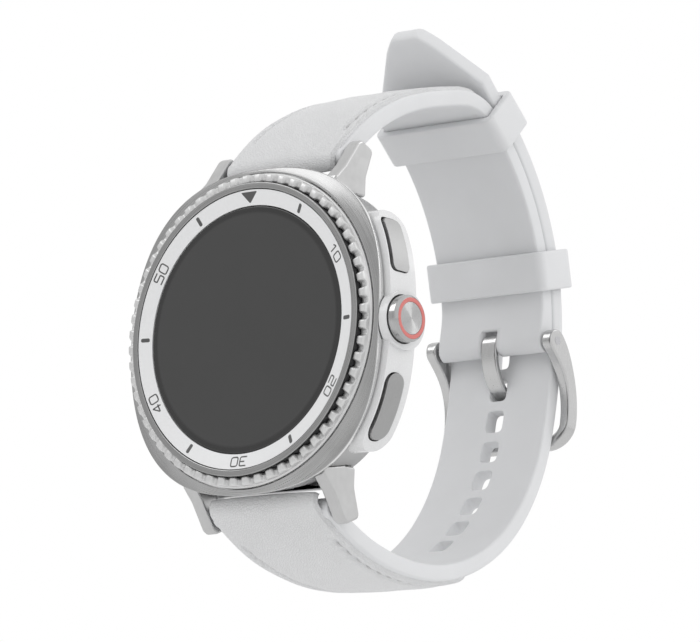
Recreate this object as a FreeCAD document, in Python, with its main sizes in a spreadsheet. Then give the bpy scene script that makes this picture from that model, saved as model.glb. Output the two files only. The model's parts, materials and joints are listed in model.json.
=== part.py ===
"""Golf GPS watch, closed on its strap as it is worn.

Frame: +Z points to 12 o'clock, +X to 3 o'clock, and the dial looks along -Y.
The origin is the centre of the sensor window's flat outer face, which rests on the wrist.
All sizes are in millimetres.
"""
import FreeCAD, Part
import Sketcher
import math
import os
import re

doc = FreeCAD.newDocument("GolfWatch")
sheet = doc.addObject("Spreadsheet::Sheet", "Sizes")

# Every driving size, grouped by the piece it belongs to. A y value is a depth in the frame:
# 0 is the wrist side of the watch and -11 the front of its glass.
SIZES = {
    # case: a cushion whose outline is |x/half|^power + |z/half|^power = 1
    "case_half": 22.6, "case_taper": 1.1, "cushion_power": 2.54,
    "case_front": -8.3, "case_back": -1.4,
    "cavity_radius": 18.4, "collar_radius": 19.88, "collar_front": -10.42,
    "glass_seat": -9.72, "ledge_front": -3.7, "ledge_radius": 14.8, "cover_seat": -2.4,
    # dished top plate
    "plate_proud": 0.6, "plate_seat": -9.2, "plate_rim": -9.9, "plate_edge": -9.0,
    "plate_back": -8.5, "gasket_inset": 0.4,
    "plate_edge_beyond": 2.4, "plate_sag": 0.14, "plate_gap": 0.04,
    # glass, display and number ring
    "glass_radius": 17.7, "glass_front": -11.0, "glass_back": -9.8, "glass_flange": 18.9,
    "glass_chamfer": 0.2, "ring_front": -11.5, "ring_inner_gap": 0.05, "ring_radius": 19.93,
    "seal_width": 0.45, "display_radius": 17.4, "display_back": -9.0,
    "tray_inner": 16.6, "tray_radius": 18.1, "tray_back": -8.4,
    # turning bezel
    "bezel_bore": 20.05, "rim_radius": 20.95, "rim_front": -11.65, "rim_back": -11.25,
    "rim_chamfer": 0.15, "web_front": -10.3, "grip_radius": 22.25, "flange_radius": 22.45,
    "flange_front": -10.15, "bezel_back": -9.5, "tooth_count": 60, "notch_inner": 0.9,
    "notch_outer": 1.16, "notch_floor": -10.55, "seat_gap": 0.15,
    "snap_groove_front": -10.05, "snap_groove_back": -9.7, "snap_groove_depth": 0.4,
    "snap_ring_front": -9.97, "snap_ring_back": -9.78, "snap_ring_grip": 0.25,
    "slide_inner": 20.2, "slide_outer": 20.6, "slide_front": -9.42,
    "plunger_radius": 0.5, "plunger_place": 21.2, "plunger_hole": 0.56, "plunger_tall": 0.65,
    "plunger_angle": 40.0,
    # electronics and inner frame
    "board_radius": 17.9, "board_back": -7.8, "chip_tall": 0.9, "frame_radius": 18.1,
    "battery_wide": 23.0, "battery_high": 18.0, "battery_front": -6.8, "battery_back": -3.85,
    "battery_x": -3.4, "fit_gap": 0.1, "motor_radius": 1.5, "motor_long": 7.0, "motor_z": 12.6,
    "speaker_wide": 9.0, "speaker_high": 4.2, "speaker_tall": 2.4, "speaker_z": -12.4,
    "shield_radius": 14.2, "shield_front": -3.62, "shield_back": -3.32, "coil_inner": 9.8,
    "coil_outer": 14.0, "coil_back": -2.75, "sensor_radius": 8.4, "sensor_back": -2.7,
    "led_side": 1.3, "led_tall": 0.9, "led_place": 4.6,
    # back cover and sensor window
    "cover_radius": 17.3, "cover_gap": 0.08, "cover_back": -0.6, "cover_chamfer": 0.5,
    "window_radius": 8.8, "window_front": -1.6, "window_chamfer": 0.35,
    "window_hole": 8.2, "oring_inner": 15.05, "oring_width": 0.3,
    "oring_front": -2.55, "oring_back": -2.25,
    "screw_circle": 16.0, "screw_head": 0.75, "screw_head_tall": 0.5, "screw_shank": 0.38,
    "screw_long": 1.2, "cover_screw_angle": 45.0, "cover_screw_count": 4,
    "frame_screw_angle": 60.0, "frame_screw_count": 3, "frame_screw_circle": 16.9, "frame_screw_head": 0.85,
    "frame_screw_front": -5.2,
    # guard along the 3 o'clock side
    "guard_proud": 1.6, "guard_front": -8.25, "guard_back": -2.7, "guard_top": 15.9,
    "guard_bottom": -17.9, "guard_corner": 2.4, "guard_start": 12.0, "boss_wall": 0.9, "boss_y": -5.55,
    "boss_proud": 2.15, "boss_root": 1.0,
    # push buttons
    "button_y": -6.0, "button_half_tall": 1.85, "button_proud": 1.85, "button_travel": 0.4,
    "button_gap": 0.16, "button_thick": 1.5, "upper_low": 6.9, "upper_high": 14.5,
    "lower_low": -16.5, "lower_high": -7.5, "upper_stem_z": 10.6, "lower_stem_z": -11.6,
    "stem_radius": 0.8, "stem_gap": 0.05, "stem_bite": 0.5, "button_oring_radius": 1.4,
    "button_oring_long": 0.6, "button_oring_sink": 0.3, "switch_half": 1.2, "switch_tall": 0.8,
    "upper_corner": 0.9, "button_set_back": 0.3,
    # quick button at 3 o'clock
    "quick_y": -6.2, "quick_radius": 3.3, "quick_proud": 3.8, "quick_bevel": 0.45,
    "quick_tall": 2.4, "quick_lip": 0.4, "quick_ring_wide": 0.55, "quick_ring_gap": 0.05,
    "quick_inlay": 0.25,
    # lug brackets
    "prong_gap": 0.35, "prong_wide": 2.15, "pin_y": -3.0, "pin_beyond": 2.4, "pin_radius": 0.7,
    "pin_bite": 1.45, "tongue_front": -3.0, "tongue_back": -1.55, "tongue_reach": 5.8,
    "tongue_tall": 2.9, "tongue_floor": -3.85, "bracket_gap": 0.06,
    "release_half_wide": 3.0, "release_below": 5.1, "release_tall": 1.5, "release_proud": 0.3,
    "release_flange": 0.4, "release_flange_tall": 0.35,
    # strap: both halves share one arc where they lie on each other
    "strap_thick": 2.4, "lug_width": 21.6, "strap_width": 19.4, "taper_start": 2.0,
    "taper_end": 25.0, "arc_y": 6.5, "arc_z": 7.5, "short_radius": 38.6, "lap_gap": 0.05,
    "short_heading": 52.5, "short_crest_y": 15.9, "short_crest_rise": -0.085,
    "short_crest_heading": 15.5, "short_arc_top": 50.5, "short_arc_end": 0.0, "knuckle": 1.5,
    "pin_bore_gap": 0.06, "long_heading": -36.0, "bottom_y": 19.8, "bottom_drop": 6.15,
    "bottom_heading": 3.0, "side_in": 4.9, "side_drop": 27.9, "side_heading": 53.0,
    "long_arc_start": -2.0, "long_arc_end": 47.0, "tail_length": 17.8, "tip_taper": 9.8,
    "tip_width": 8.6, "tip_chamfer": 2.2, "hole_first": 8.6, "hole_pitch": 4.95,
    "hole_count": 10,
    "hole_long": 3.7, "hole_wide": 3.2, "hole_corner": 1.1,
    "leather_thick": 0.9, "leather_margin": 0.9, "leather_short": 35.0, "leather_long": 33.0,
    "leather_nose": 0.8, "leather_wrap": 103.0,
    # keepers
    "keeper_wall": 1.2, "keeper_gap": 0.25, "keeper_wide": 5.8, "keeper_corner": 1.4,
    "upper_keeper_angle": 48.5, "lower_keeper_angle": 14.0,
    # buckle
    "buckle_in": 0.4, "buckle_drop": 1.2, "buckle_knuckle": 1.55, "buckle_pin_radius": 0.65,
    "arm_gap": 0.45, "arm_thick": 1.8, "arm_half": 1.05, "eye_radius": 1.7, "bar_in": 0.6,
    "bar_drop": 14.7, "bar_radius": 1.05, "arm_bulge": 2.2, "tang_wide": 2.6, "tang_half": 0.4,
    "tang_eye": 1.05, "tang_slot": 3.1, "tang_slot_rise": 2.3, "tang_eye_gap": 0.05,
    "tang_straight": 0.6, "tang_mid_in": 0.15, "tang_mid_drop": 7.15, "tang_mid_heading": -25.0,
    "tang_out_proud": 0.7, "tang_out_drop": 10.3, "tang_out_heading": -86.0,
    "tang_tip_proud": 0.95, "tang_tip_drop": 16.6, "tang_tip_heading": -91.0,
}
for row, (alias, number) in enumerate(SIZES.items(), start=1):
    sheet.set("A%d" % row, alias)
    sheet.set("B%d" % row, str(number))
    sheet.setAlias("B%d" % row, alias)
doc.recompute()

# What fits to a driving size is worked out from it.
FITS = {
    "case_back_half": "case_half - case_taper",
    "plate_half": "case_half + plate_proud",
    "plate_edge_radius": "case_half + plate_edge_beyond",
    "guard_half": "case_half + guard_proud",
    "button_half": "case_half + button_proud",
    "boss_radius": "quick_radius + boss_wall",
    "boss_reach": "case_half + boss_proud",
    "quick_face": "case_half + quick_proud",
    "quick_root": "quick_face - quick_tall",
    "quick_ring_outer": "quick_radius - quick_lip",
    "quick_ring_inner": "quick_ring_outer - quick_ring_wide",
    "quick_disc_radius": "quick_ring_inner - quick_ring_gap",
    "prong_inner": "lug_width / 2 + prong_gap",
    "prong_outer": "prong_inner + prong_wide",
    "pin_z": "case_half + pin_beyond",
    "pin_reach": "prong_inner + pin_bite",
    "tongue_low": "pin_z - tongue_reach",
    "tongue_high": "tongue_low + tongue_tall",
    "release_low": "pin_z - release_below",
    "release_high": "release_low + release_tall",
    "long_radius": "short_radius + strap_thick + lap_gap",
    "long_outside": "arc_y + long_radius + strap_thick / 2",
    "short_crest_z": "arc_z + short_radius * sin(short_arc_top) + short_crest_rise",
    "bottom_z": "-(pin_z + bottom_drop)",
    "side_y": "arc_y + short_radius - side_in",
    "side_z": "arc_z - side_drop",
    "buckle_y": "arc_y + short_radius - buckle_in",
    "buckle_z": "arc_z - buckle_drop",
    "arm_inner": "strap_width / 2 + arm_gap",
    "arm_outer": "arm_inner + arm_thick",
    "bar_y": "long_outside - bar_in",
    "bar_z": "buckle_z - bar_drop",
    "tang_slot_top": "buckle_z + tang_slot_rise",
    "tang_mid_y": "arc_y + long_radius - tang_mid_in",
    "tang_mid_z": "buckle_z - tang_mid_drop",
    "tang_out_y": "long_outside + tang_out_proud",
    "tang_out_z": "buckle_z - tang_out_drop",
    "tang_tip_y": "long_outside + tang_tip_proud",
    "tang_tip_z": "buckle_z - tang_tip_drop",
}

pieces = []
FULL_TURN = 360.0
NAME = re.compile(r"[a-z_][a-z_0-9]*")


def spelled(text):
    """A formula with every fitted size written out in driving sizes."""
    longer = NAME.sub(lambda word: "(%s)" % FITS.get(word.group(), word.group()), text)
    names = NAME.findall(text)
    return spelled(longer) if any(name in FITS for name in names) else text


def value(text):
    """The number that a formula over the names works out to."""
    found = sheet.evalExpression(spelled(text))
    return float(getattr(found, "Value", found))


def bound(text):
    """The same formula, as other objects of the document have to write it."""
    return NAME.sub(lambda word: "Sizes." + word.group() if word.group() in SIZES else word.group(),
                    spelled(text))


def bind(thing, prop, text):
    thing.setExpression(prop, bound(text))


def new_body(label):
    body = doc.addObject("PartDesign::Body", label)
    body.Label = label
    body.AllowCompound = True
    pieces.append(body)
    return body


def origin_feature(body, role):
    return next(item for item in body.Origin.OriginFeatures if item.Role == role)


def new_sketch(body, role, name, height="0"):
    """A sketch on one of the body's own origin planes, raised along that plane's normal."""
    sketch = body.newObject("Sketcher::SketchObject", name)
    sketch.AttachmentSupport = [(origin_feature(body, role), "")]
    sketch.MapMode = "FlatFace"
    bind(sketch, "AttachmentOffset.Base.z", height)
    return sketch


def hold_point(sketch, geometry, end, across, upward):
    """Ties one point of a sketch to a pair of formulas."""
    for kind, text in (("DistanceX", across), ("DistanceY", upward)):
        index = sketch.addConstraint(Sketcher.Constraint(kind, -1, 1, geometry, end, value(text)))
        bind(sketch, "Constraints[%d]" % index, text)


def add_outline(sketch, corners):
    """A closed outline of straight sides through corners given as pairs of formulas."""
    places = [FreeCAD.Vector(value(a), value(b), 0) for a, b in corners]
    sides = [sketch.addGeometry(Part.LineSegment(places[i], places[(i + 1) % len(places)]), False)
             for i in range(len(places))]
    for side, following in zip(sides, sides[1:] + sides[:1]):
        sketch.addConstraint(Sketcher.Constraint("Coincident", side, 2, following, 1))
    for side, (across, upward) in zip(sides, corners):
        hold_point(sketch, side, 1, across, upward)


def add_circle(sketch, across, upward, radius):
    centre = FreeCAD.Vector(value(across), value(upward), 0)
    ring = sketch.addGeometry(Part.Circle(centre, FreeCAD.Vector(0, 0, 1), value(radius)), False)
    hold_point(sketch, ring, 3, across, upward)
    index = sketch.addConstraint(Sketcher.Constraint("Radius", ring, value(radius)))
    bind(sketch, "Constraints[%d]" % index, radius)


def turned(label, corners):
    """A piece turned about the watch's own axis: corners are (radius, y)."""
    body = new_body(label)
    sketch = new_sketch(body, "XY_Plane", label + "_profile")
    add_outline(sketch, corners)
    spin = body.newObject("PartDesign::Revolution", label + "_turn")
    spin.Profile = sketch
    spin.ReferenceAxis = (sketch, ["V_Axis"])
    spin.Angle = FULL_TURN
    return body


def disc(label, radius, front, back, inner=None):
    if inner is None:
        inner = "0"
    return turned(label, [(inner, front), (radius, front), (radius, back), (inner, back)])


def ring_of_holes(body, name, circle, radius, first_angle, front, back):
    """The back cover's screw holes, parallel to the watch's axis and evenly round it."""
    sketch = new_sketch(body, "XZ_Plane", name, "-(%s)" % front)
    add_circle(sketch, "(%s) * cos(%s)" % (circle, first_angle),
               "(%s) * sin(%s)" % (circle, first_angle), radius)
    cut = body.newObject("PartDesign::Pocket", name + "_cut")
    cut.Profile = sketch
    bind(cut, "Length", "(%s) - (%s)" % (back, front))
    bind(repeat(body, cut, name + "_ring"), "Occurrences", "cover_screw_count")


def repeat(body, cut, name):
    doc.recompute()
    ring = body.newObject("PartDesign::PolarPattern", name)
    ring.Originals = [cut]
    ring.Axis = (origin_feature(body, "Y_Axis"), [""])
    ring.Angle = FULL_TURN
    body.Tip = ring
    return ring


def rectangle(left, right, low, high):
    return [(left, low), (right, low), (right, high), (left, high)]


def rod(label, start, finish, depth, height, radius, bore=None):
    """A round piece along X between two stations, with a bore if it has one."""
    body = new_body(label)
    sketch = new_sketch(body, "YZ_Plane", label + "_section", start)
    add_circle(sketch, depth, height, radius)
    if bore is not None:
        add_circle(sketch, depth, height, bore)
    pad = body.newObject("PartDesign::Pad", label + "_pad")
    pad.Profile = sketch
    bind(pad, "Length", "(%s) - (%s)" % (finish, start))
    return body


def feature(label, shape):
    """A piece whose shape comes from Part's own functions."""
    piece = doc.addObject("Part::Feature", label)
    piece.Label = label
    piece.Shape = shape
    pieces.append(piece)
    return piece


# ---------------------------------------------------------------- shapes that sketches don't have
def vec(across, depth, height):
    return FreeCAD.Vector(across, depth, height)


X_WAY = vec(1, 0, 0)
Y_WAY = vec(0, 1, 0)
Z_WAY = vec(0, 0, 1)
CUSHION_POINTS = 48


def cushion_wire(half, depth):
    """A closed curve through points of the cushion outline, at one depth."""
    power = value("cushion_power")
    points = []
    for step in range(CUSHION_POINTS):
        angle = 2 * math.pi * step / CUSHION_POINTS
        reach = half / (abs(math.cos(angle)) ** power + abs(math.sin(angle)) ** power) ** (1 / power)
        points.append(vec(reach * math.cos(angle), depth, reach * math.sin(angle)))
    curve = Part.BSplineCurve()
    curve.interpolate(Points=points, PeriodicFlag=True)
    return Part.Wire(curve.toShape())


def cushion_block(half, front, back):
    return Part.Face(cushion_wire(half, front)).extrude(Y_WAY * (back - front))


def case_block(extra=0.0):
    """The case's outside, a cushion that narrows towards the wrist."""
    front_wire = cushion_wire(value("case_half") + extra, value("case_front"))
    back_wire = cushion_wire(value("case_back_half") + extra, value("case_back"))
    return Part.makeLoft([front_wire, back_wire], True, True)


def spun(corners):
    """A solid turned about the watch's axis from (radius, y) numbers."""
    points = [vec(radius, depth, 0) for radius, depth in corners]
    face = Part.Face(Part.makePolygon(points + points[:1]))
    return face.revolve(vec(0, 0, 0), Y_WAY, FULL_TURN)


def cylinder_x(start, finish, depth, height, radius):
    return Part.makeCylinder(radius, finish - start, vec(start, depth, height), X_WAY)


def cylinder_y(front, back, across, height, radius):
    return Part.makeCylinder(radius, back - front, vec(across, front, height), Y_WAY)


def block(low, high):
    return Part.makeBox(high.x - low.x, high.y - low.y, high.z - low.z, low)


def around(count, radius, first_angle):
    """Places evenly round the dial, as (x, z)."""
    for step in range(count):
        angle = math.radians(first_angle + FULL_TURN * step / count)
        yield radius * math.cos(angle), radius * math.sin(angle)


# ---------------------------------------------------------------- strap path
class Path:
    """A chain of tangent arcs in the plane of the strap's side, each (y, z, heading, length, turn)."""

    def __init__(self, depth, height, heading):
        self.end = (depth, height, heading)
        self.arcs = []

    def add(self, length, turn):
        depth, height, heading = self.end
        self.arcs.append((depth, height, heading, length, turn))
        self.end = self.along(self.arcs[-1], 1.0, 0.0) + (heading + turn,)

    @staticmethod
    def along(arc, share, offset):
        depth, height, heading, length, turn = arc
        now = heading + turn * share
        if abs(turn) < 1e-9:
            depth += length * share * math.cos(heading)
            height += length * share * math.sin(heading)
        else:
            radius = length / turn
            depth += radius * (math.sin(now) - math.sin(heading))
            height -= radius * (math.cos(now) - math.cos(heading))
        return depth - offset * math.sin(now), height + offset * math.cos(now)

    def add_biarc(self, depth, height, heading):
        """Two arcs that meet smoothly and end at a given place and heading."""
        start_y, start_z, start_heading = self.end
        away = FreeCAD.Vector(depth - start_y, height - start_z, 0)
        way_out = FreeCAD.Vector(math.cos(start_heading), math.sin(start_heading), 0)
        way_in = FreeCAD.Vector(math.cos(heading), math.sin(heading), 0)
        both = way_out + way_in
        bend = 2 * (1 - way_out.dot(way_in))
        reach = (-away.dot(both) + math.sqrt(away.dot(both) ** 2 + bend * away.dot(away))) / bend
        middle = (away + (way_out - way_in) * reach) * 0.5
        for chord, leaving in ((middle, way_out), (away - middle, None)):
            lead = self.end[2]
            turn = 2 * math.remainder(math.atan2(chord.y, chord.x) - lead, 2 * math.pi)
            length = chord.Length if abs(turn) < 1e-9 else chord.Length * turn / 2 / math.sin(turn / 2)
            self.add(length, turn)

    def length(self):
        return sum(arc[3] for arc in self.arcs)

    def at(self, station, offset=0.0):
        """Place and heading at a distance along the path."""
        for arc in self.arcs:
            if station <= arc[3] or arc is self.arcs[-1]:
                share = station / arc[3]
                return self.along(arc, share, offset) + (arc[2] + arc[4] * share,)
            station -= arc[3]

    def cut(self, first, last):
        """The stretch between two distances, as a path of its own."""
        part = Path(*self.at(first))
        walked = 0.0
        for depth, height, heading, length, turn in self.arcs:
            low = max(first, walked)
            high = min(last, walked + length)
            if high - low > 1e-6:
                part.add(high - low, turn * (high - low) / length)
            walked += length
        return part

    def strip(self, low, high, width):
        """The solid between two offsets of the path, as wide as told."""
        def edges(offset):
            found = []
            for arc in self.arcs:
                points = [vec(-width / 2, *self.along(arc, share, offset)) for share in (0.0, 0.5, 1.0)]
                straight = abs(arc[4]) < 1e-6
                found.append(Part.LineSegment(points[0], points[2]).toShape() if straight
                             else Part.Arc(*points).toShape())
            return found
        near = edges(low)
        far = edges(high)
        start_cap = Part.makeLine(near[0].Vertexes[0].Point, far[0].Vertexes[0].Point)
        end_cap = Part.makeLine(near[-1].Vertexes[-1].Point, far[-1].Vertexes[-1].Point)
        wire = Part.Wire(Part.__sortEdges__(near + [end_cap] + far + [start_cap]))
        return Part.Face(wire).extrude(X_WAY * width)


def tapered(solid, inset):
    """The strap narrows from the lugs to the keepers: trims a solid to that plan."""
    wide = value("lug_width") / 2 - inset
    narrow = value("strap_width") / 2 - inset
    reach = value("case_half") * 4
    half_plan = [(-reach, wide), (value("taper_start"), wide), (value("taper_end"), narrow),
                 (reach, narrow)]
    points = [vec(across, depth, -reach) for depth, across in half_plan]
    points += [vec(-across, depth, -reach) for depth, across in reversed(half_plan)]
    prism = Part.Face(Part.makePolygon(points + points[:1])).extrude(Z_WAY * reach * 2)
    return solid.common(prism)


def set_square(solid, place):
    """Moves a solid made about the origin, its length along Y and thickness along Z, onto the path."""
    depth, height, heading = place
    turn = FreeCAD.Rotation(X_WAY, math.degrees(heading))
    solid.Placement = FreeCAD.Placement(vec(0, depth, height), turn)
    return solid


short_radius = value("short_radius")
long_radius = value("long_radius")
half_thick = value("strap_thick") / 2


def arc_place(radius, degrees):
    angle = math.radians(degrees)
    return (value("arc_y") + radius * math.cos(angle), value("arc_z") + radius * math.sin(angle))


# The short half runs from the 12 o'clock lug over the wrist and down to the buckle pin.
short_path = Path(value("pin_y"), value("pin_z"), math.radians(value("short_heading")))
short_path.add_biarc(value("short_crest_y"), value("short_crest_z"),
                     math.radians(value("short_crest_heading")))
short_path.add_biarc(*arc_place(short_radius, value("short_arc_top")),
                     math.radians(value("short_arc_top") - 90))
short_sweep = math.radians(value("short_arc_top") - value("short_arc_end"))
short_path.add(short_radius * short_sweep, -short_sweep)

# The long half runs from the 6 o'clock lug under the wrist, up outside the short half, to its free tip.
long_path = Path(value("pin_y"), -value("pin_z"), math.radians(value("long_heading")))
long_path.add_biarc(value("bottom_y"), value("bottom_z"), math.radians(value("bottom_heading")))
long_path.add_biarc(value("side_y"), value("side_z"), math.radians(value("side_heading")))
long_path.add_biarc(*arc_place(long_radius, value("long_arc_start")),
                    math.radians(value("long_arc_start") + 90))
arc_reached = long_path.length()
long_sweep = math.radians(value("long_arc_end") - value("long_arc_start"))
long_path.add(long_radius * long_sweep, long_sweep)
long_path.add(value("tail_length"), 0.0)

# ---------------------------------------------------------------- turned pieces of the head
turned("cover_glass", [
    ("0", "glass_front"), ("glass_radius - glass_chamfer", "glass_front"),
    ("glass_radius", "glass_front + glass_chamfer"), ("glass_radius", "collar_front"),
    ("glass_flange", "collar_front"), ("glass_flange", "glass_back"), ("0", "glass_back")])
disc("glass_seal", "glass_flange", "glass_back", "glass_seat", "glass_flange - seal_width")
turned("number_ring", [
    ("glass_radius + ring_inner_gap", "glass_front"), ("ring_radius", "ring_front"),
    ("ring_radius", "collar_front"), ("glass_radius + ring_inner_gap", "collar_front")])
disc("display_panel", "display_radius", "glass_back", "display_back")
disc("display_tray", "tray_radius", "display_back", "tray_back", "tray_inner")
disc("main_board", "board_radius", "tray_back", "board_back")
disc("coil_shield", "shield_radius", "shield_front", "shield_back")
disc("charging_coil", "coil_outer", "shield_back", "coil_back", "coil_inner")
disc("sensor_board", "sensor_radius", "shield_back", "sensor_back")

# ---------------------------------------------------------------- turning bezel
turned("bezel_rim", [
    ("bezel_bore", "rim_back"), ("bezel_bore", "rim_front + rim_chamfer"),
    ("bezel_bore + rim_chamfer", "rim_front"), ("rim_radius - rim_chamfer", "rim_front"),
    ("rim_radius", "rim_front + rim_chamfer"), ("rim_radius", "rim_back")])
disc("bezel_liner", "rim_radius", "rim_back", "web_front", "bezel_bore")

grip = turned("bezel_grip_ring", [
    ("rim_radius", "rim_back"), ("grip_radius - rim_chamfer", "rim_back"),
    ("grip_radius", "rim_back + rim_chamfer"), ("grip_radius", "flange_front"),
    ("flange_radius", "flange_front"), ("flange_radius", "bezel_back"), ("bezel_bore", "bezel_back"),
    ("bezel_bore", "snap_groove_back"), ("bezel_bore + snap_groove_depth", "snap_groove_back"),
    ("bezel_bore + snap_groove_depth", "snap_groove_front"), ("bezel_bore", "snap_groove_front"),
    ("bezel_bore", "web_front"), ("rim_radius", "web_front")])
notch = new_sketch(grip, "XZ_Plane", "grip_notch", "-(rim_front)")
add_outline(notch, [("-(notch_inner) / 2", "rim_radius - seat_gap"),
                    ("notch_inner / 2", "rim_radius - seat_gap"),
                    ("notch_outer / 2", "flange_radius"), ("-(notch_outer) / 2", "flange_radius")])
groove = grip.newObject("PartDesign::Pocket", "grip_notch_cut")
groove.Profile = notch
bind(groove, "Length", "notch_floor - rim_front")
teeth = repeat(grip, groove, "grip_teeth")
bind(teeth, "Occurrences", "tooth_count")

disc("bezel_snap_ring", "bezel_bore + snap_ring_grip", "snap_ring_front", "snap_ring_back",
     "collar_radius - snap_ring_grip")
disc("bezel_slide_ring", "slide_outer", "slide_front", "plate_seat", "slide_inner")

# ---------------------------------------------------------------- back of the head
back_cover = turned("back_cover", [
    ("window_hole", "cover_seat"), ("oring_inner", "cover_seat"), ("oring_inner", "oring_back"),
    ("oring_inner + oring_width", "oring_back"), ("oring_inner + oring_width", "cover_seat"),
    ("cover_radius", "cover_seat"), ("cover_radius", "cover_back - cover_chamfer"),
    ("cover_radius - cover_chamfer", "cover_back"), ("window_radius + ring_inner_gap", "cover_back"),
    ("window_radius + ring_inner_gap", "window_front"), ("window_hole", "window_front")])
ring_of_holes(back_cover, "cover_screw_hole", "screw_circle", "screw_shank", "cover_screw_angle",
              "cover_seat", "cover_back")
ring_of_holes(back_cover, "cover_head_hole", "screw_circle", "screw_head", "cover_screw_angle",
              "cover_back - screw_head_tall", "cover_back")
disc("back_cover_seal", "oring_inner + oring_width", "oring_front", "oring_back", "oring_inner")
turned("sensor_window", [
    ("0", "window_front"), ("window_radius", "window_front"), ("window_radius", "-(window_chamfer)"),
    ("window_radius - window_chamfer", "0"), ("0", "0")])

# ---------------------------------------------------------------- case, plate and guard
REACH = value("case_half") * 2
button_y = value("button_y")
quick_y = value("quick_y")
stem_radius = value("stem_radius")


def cushion_x(half, height):
    """How far out along X a cushion outline lies at a height."""
    power = value("cushion_power")
    return half * (1 - abs(height / half) ** power) ** (1 / power)


def case_half_at(depth):
    """Half the case's width at a depth, as it narrows towards the wrist."""
    share = (depth - value("case_front")) / (value("case_back") - value("case_front"))
    return value("case_half") + share * (value("case_back_half") - value("case_half"))


class Stem:
    """Where one button's stem runs: its axis, the case wall it crosses and its switch."""

    def __init__(self, depth, height):
        self.depth = depth
        self.height = height
        corner = abs(height) + value("switch_half") if height else 0.0
        self.inner = math.sqrt(value("frame_radius") ** 2 - corner ** 2)
        self.wall = cushion_x(case_half_at(depth), height)
        self.oring_end = self.wall - value("button_oring_sink")
        self.oring = self.oring_end - value("button_oring_long")
        self.switch = self.inner - value("button_travel + stem_gap")


stems = {
    "upper_button": Stem(button_y, value("upper_stem_z")),
    "quick_button": Stem(quick_y, 0.0),
    "lower_button": Stem(button_y, value("lower_stem_z")),
}


def rounded_x(start, finish, low_y, high_y, low_z, high_z, corner):
    """A bar along X with a rounded rectangle as its section."""
    bar = block(vec(start, low_y, low_z), vec(finish, high_y, high_z))
    along_x = [edge for edge in bar.Edges
               if abs(edge.Vertexes[0].X - edge.Vertexes[-1].X) > (finish - start) / 2]
    return bar.makeFillet(corner, along_x)


COVER_SCREWS = int(value("cover_screw_count"))
FRAME_SCREWS = int(value("frame_screw_count"))
case = case_block()
case = case.fuse(cylinder_y(value("collar_front"), value("case_front"), 0, 0, value("collar_radius")))
seat = value("glass_flange + ring_inner_gap")
groove_start = value("oring_inner")
groove_end = value("oring_inner + oring_width")
cover_bore = value("cover_radius + cover_gap")
case = case.cut(spun([
    (0, value("collar_front")), (seat, value("collar_front")), (seat, value("glass_seat")),
    (value("cavity_radius"), value("glass_seat")), (value("cavity_radius"), value("ledge_front")),
    (value("ledge_radius"), value("ledge_front")), (value("ledge_radius"), value("cover_seat")),
    (groove_start, value("cover_seat")), (groove_start, value("oring_front")),
    (groove_end, value("oring_front")), (groove_end, value("cover_seat")),
    (cover_bore, value("cover_seat")), (cover_bore, 0), (0, 0)]))
snap_seat = value("collar_radius - snap_ring_grip")
case = case.cut(spun([
    (snap_seat, value("snap_ring_front")), (value("bezel_bore"), value("snap_ring_front")),
    (value("bezel_bore"), value("snap_ring_back")), (snap_seat, value("snap_ring_back"))]))
for stem in stems.values():
    case = case.cut(cylinder_x(0, REACH, stem.depth, stem.height, value("stem_radius + stem_gap")))
    case = case.cut(cylinder_x(stem.oring, REACH, stem.depth, stem.height, value("button_oring_radius")))
tongue_pocket = block(
    vec(-value("prong_outer + bracket_gap"), value("tongue_floor"), value("tongue_low - bracket_gap")),
    vec(value("prong_outer + bracket_gap"), 0, REACH))
case = case.cut(tongue_pocket).cut(tongue_pocket.mirror(vec(0, 0, 0), Z_WAY))
for x, z in around(COVER_SCREWS, value("screw_circle"), value("cover_screw_angle")):
    case = case.cut(cylinder_y(value("cover_seat - screw_long"), 0, x, z, value("screw_shank")))
for x, z in around(FRAME_SCREWS, value("frame_screw_circle"), value("frame_screw_angle")):
    case = case.cut(cylinder_y(value("ledge_front"), value("cover_seat"), x, z, value("screw_shank")))
feature("case_body", case)

# The top plate is a cushion whose face is dished: an arc turned about the axis.
rim = value("flange_radius + seat_gap")
edge_radius = value("plate_edge_radius")
middle = ((rim + edge_radius) / 2, (value("plate_rim") + value("plate_edge")) / 2 + value("plate_sag"))
outer = edge_radius * 1.2
plate_hole = value("collar_radius + plate_gap")
plate_back = value("plate_back")
dish_wire = Part.Wire([
    Part.makeLine(vec(plate_hole, plate_back, 0), vec(plate_hole, value("plate_seat"), 0)),
    Part.makeLine(vec(plate_hole, value("plate_seat"), 0), vec(rim, value("plate_seat"), 0)),
    Part.makeLine(vec(rim, value("plate_seat"), 0), vec(rim, value("plate_rim"), 0)),
    Part.Arc(vec(rim, value("plate_rim"), 0), vec(middle[0], middle[1], 0),
             vec(edge_radius, value("plate_edge"), 0)).toShape(),
    Part.makeLine(vec(edge_radius, value("plate_edge"), 0), vec(outer, value("plate_edge"), 0)),
    Part.makeLine(vec(outer, value("plate_edge"), 0), vec(outer, plate_back, 0)),
    Part.makeLine(vec(outer, plate_back, 0), vec(plate_hole, plate_back, 0))])
dish = Part.Face(dish_wire).revolve(vec(0, 0, 0), Y_WAY, FULL_TURN)
top_plate = dish.common(cushion_block(value("plate_half"), value("rim_front"), plate_back))
plungers = []
plunger_springs = []
plunger_front = value("bezel_back + stem_gap")
plunger_back = plunger_front + value("plunger_tall") / 2
spring_back = value("plate_seat + plunger_tall")
for x, z in around(2, value("plunger_place"), value("plunger_angle")):
    top_plate = top_plate.cut(cylinder_y(value("rim_front"), spring_back, x, z, value("plunger_hole")))
    plungers.append(cylinder_y(plunger_front, plunger_back, x, z, value("plunger_radius")))
    plunger_springs.append(cylinder_y(plunger_back, spring_back, x, z, value("plunger_radius"))
                           .cut(cylinder_y(plunger_back, spring_back, x, z, value("plunger_radius") / 2)))
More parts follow.
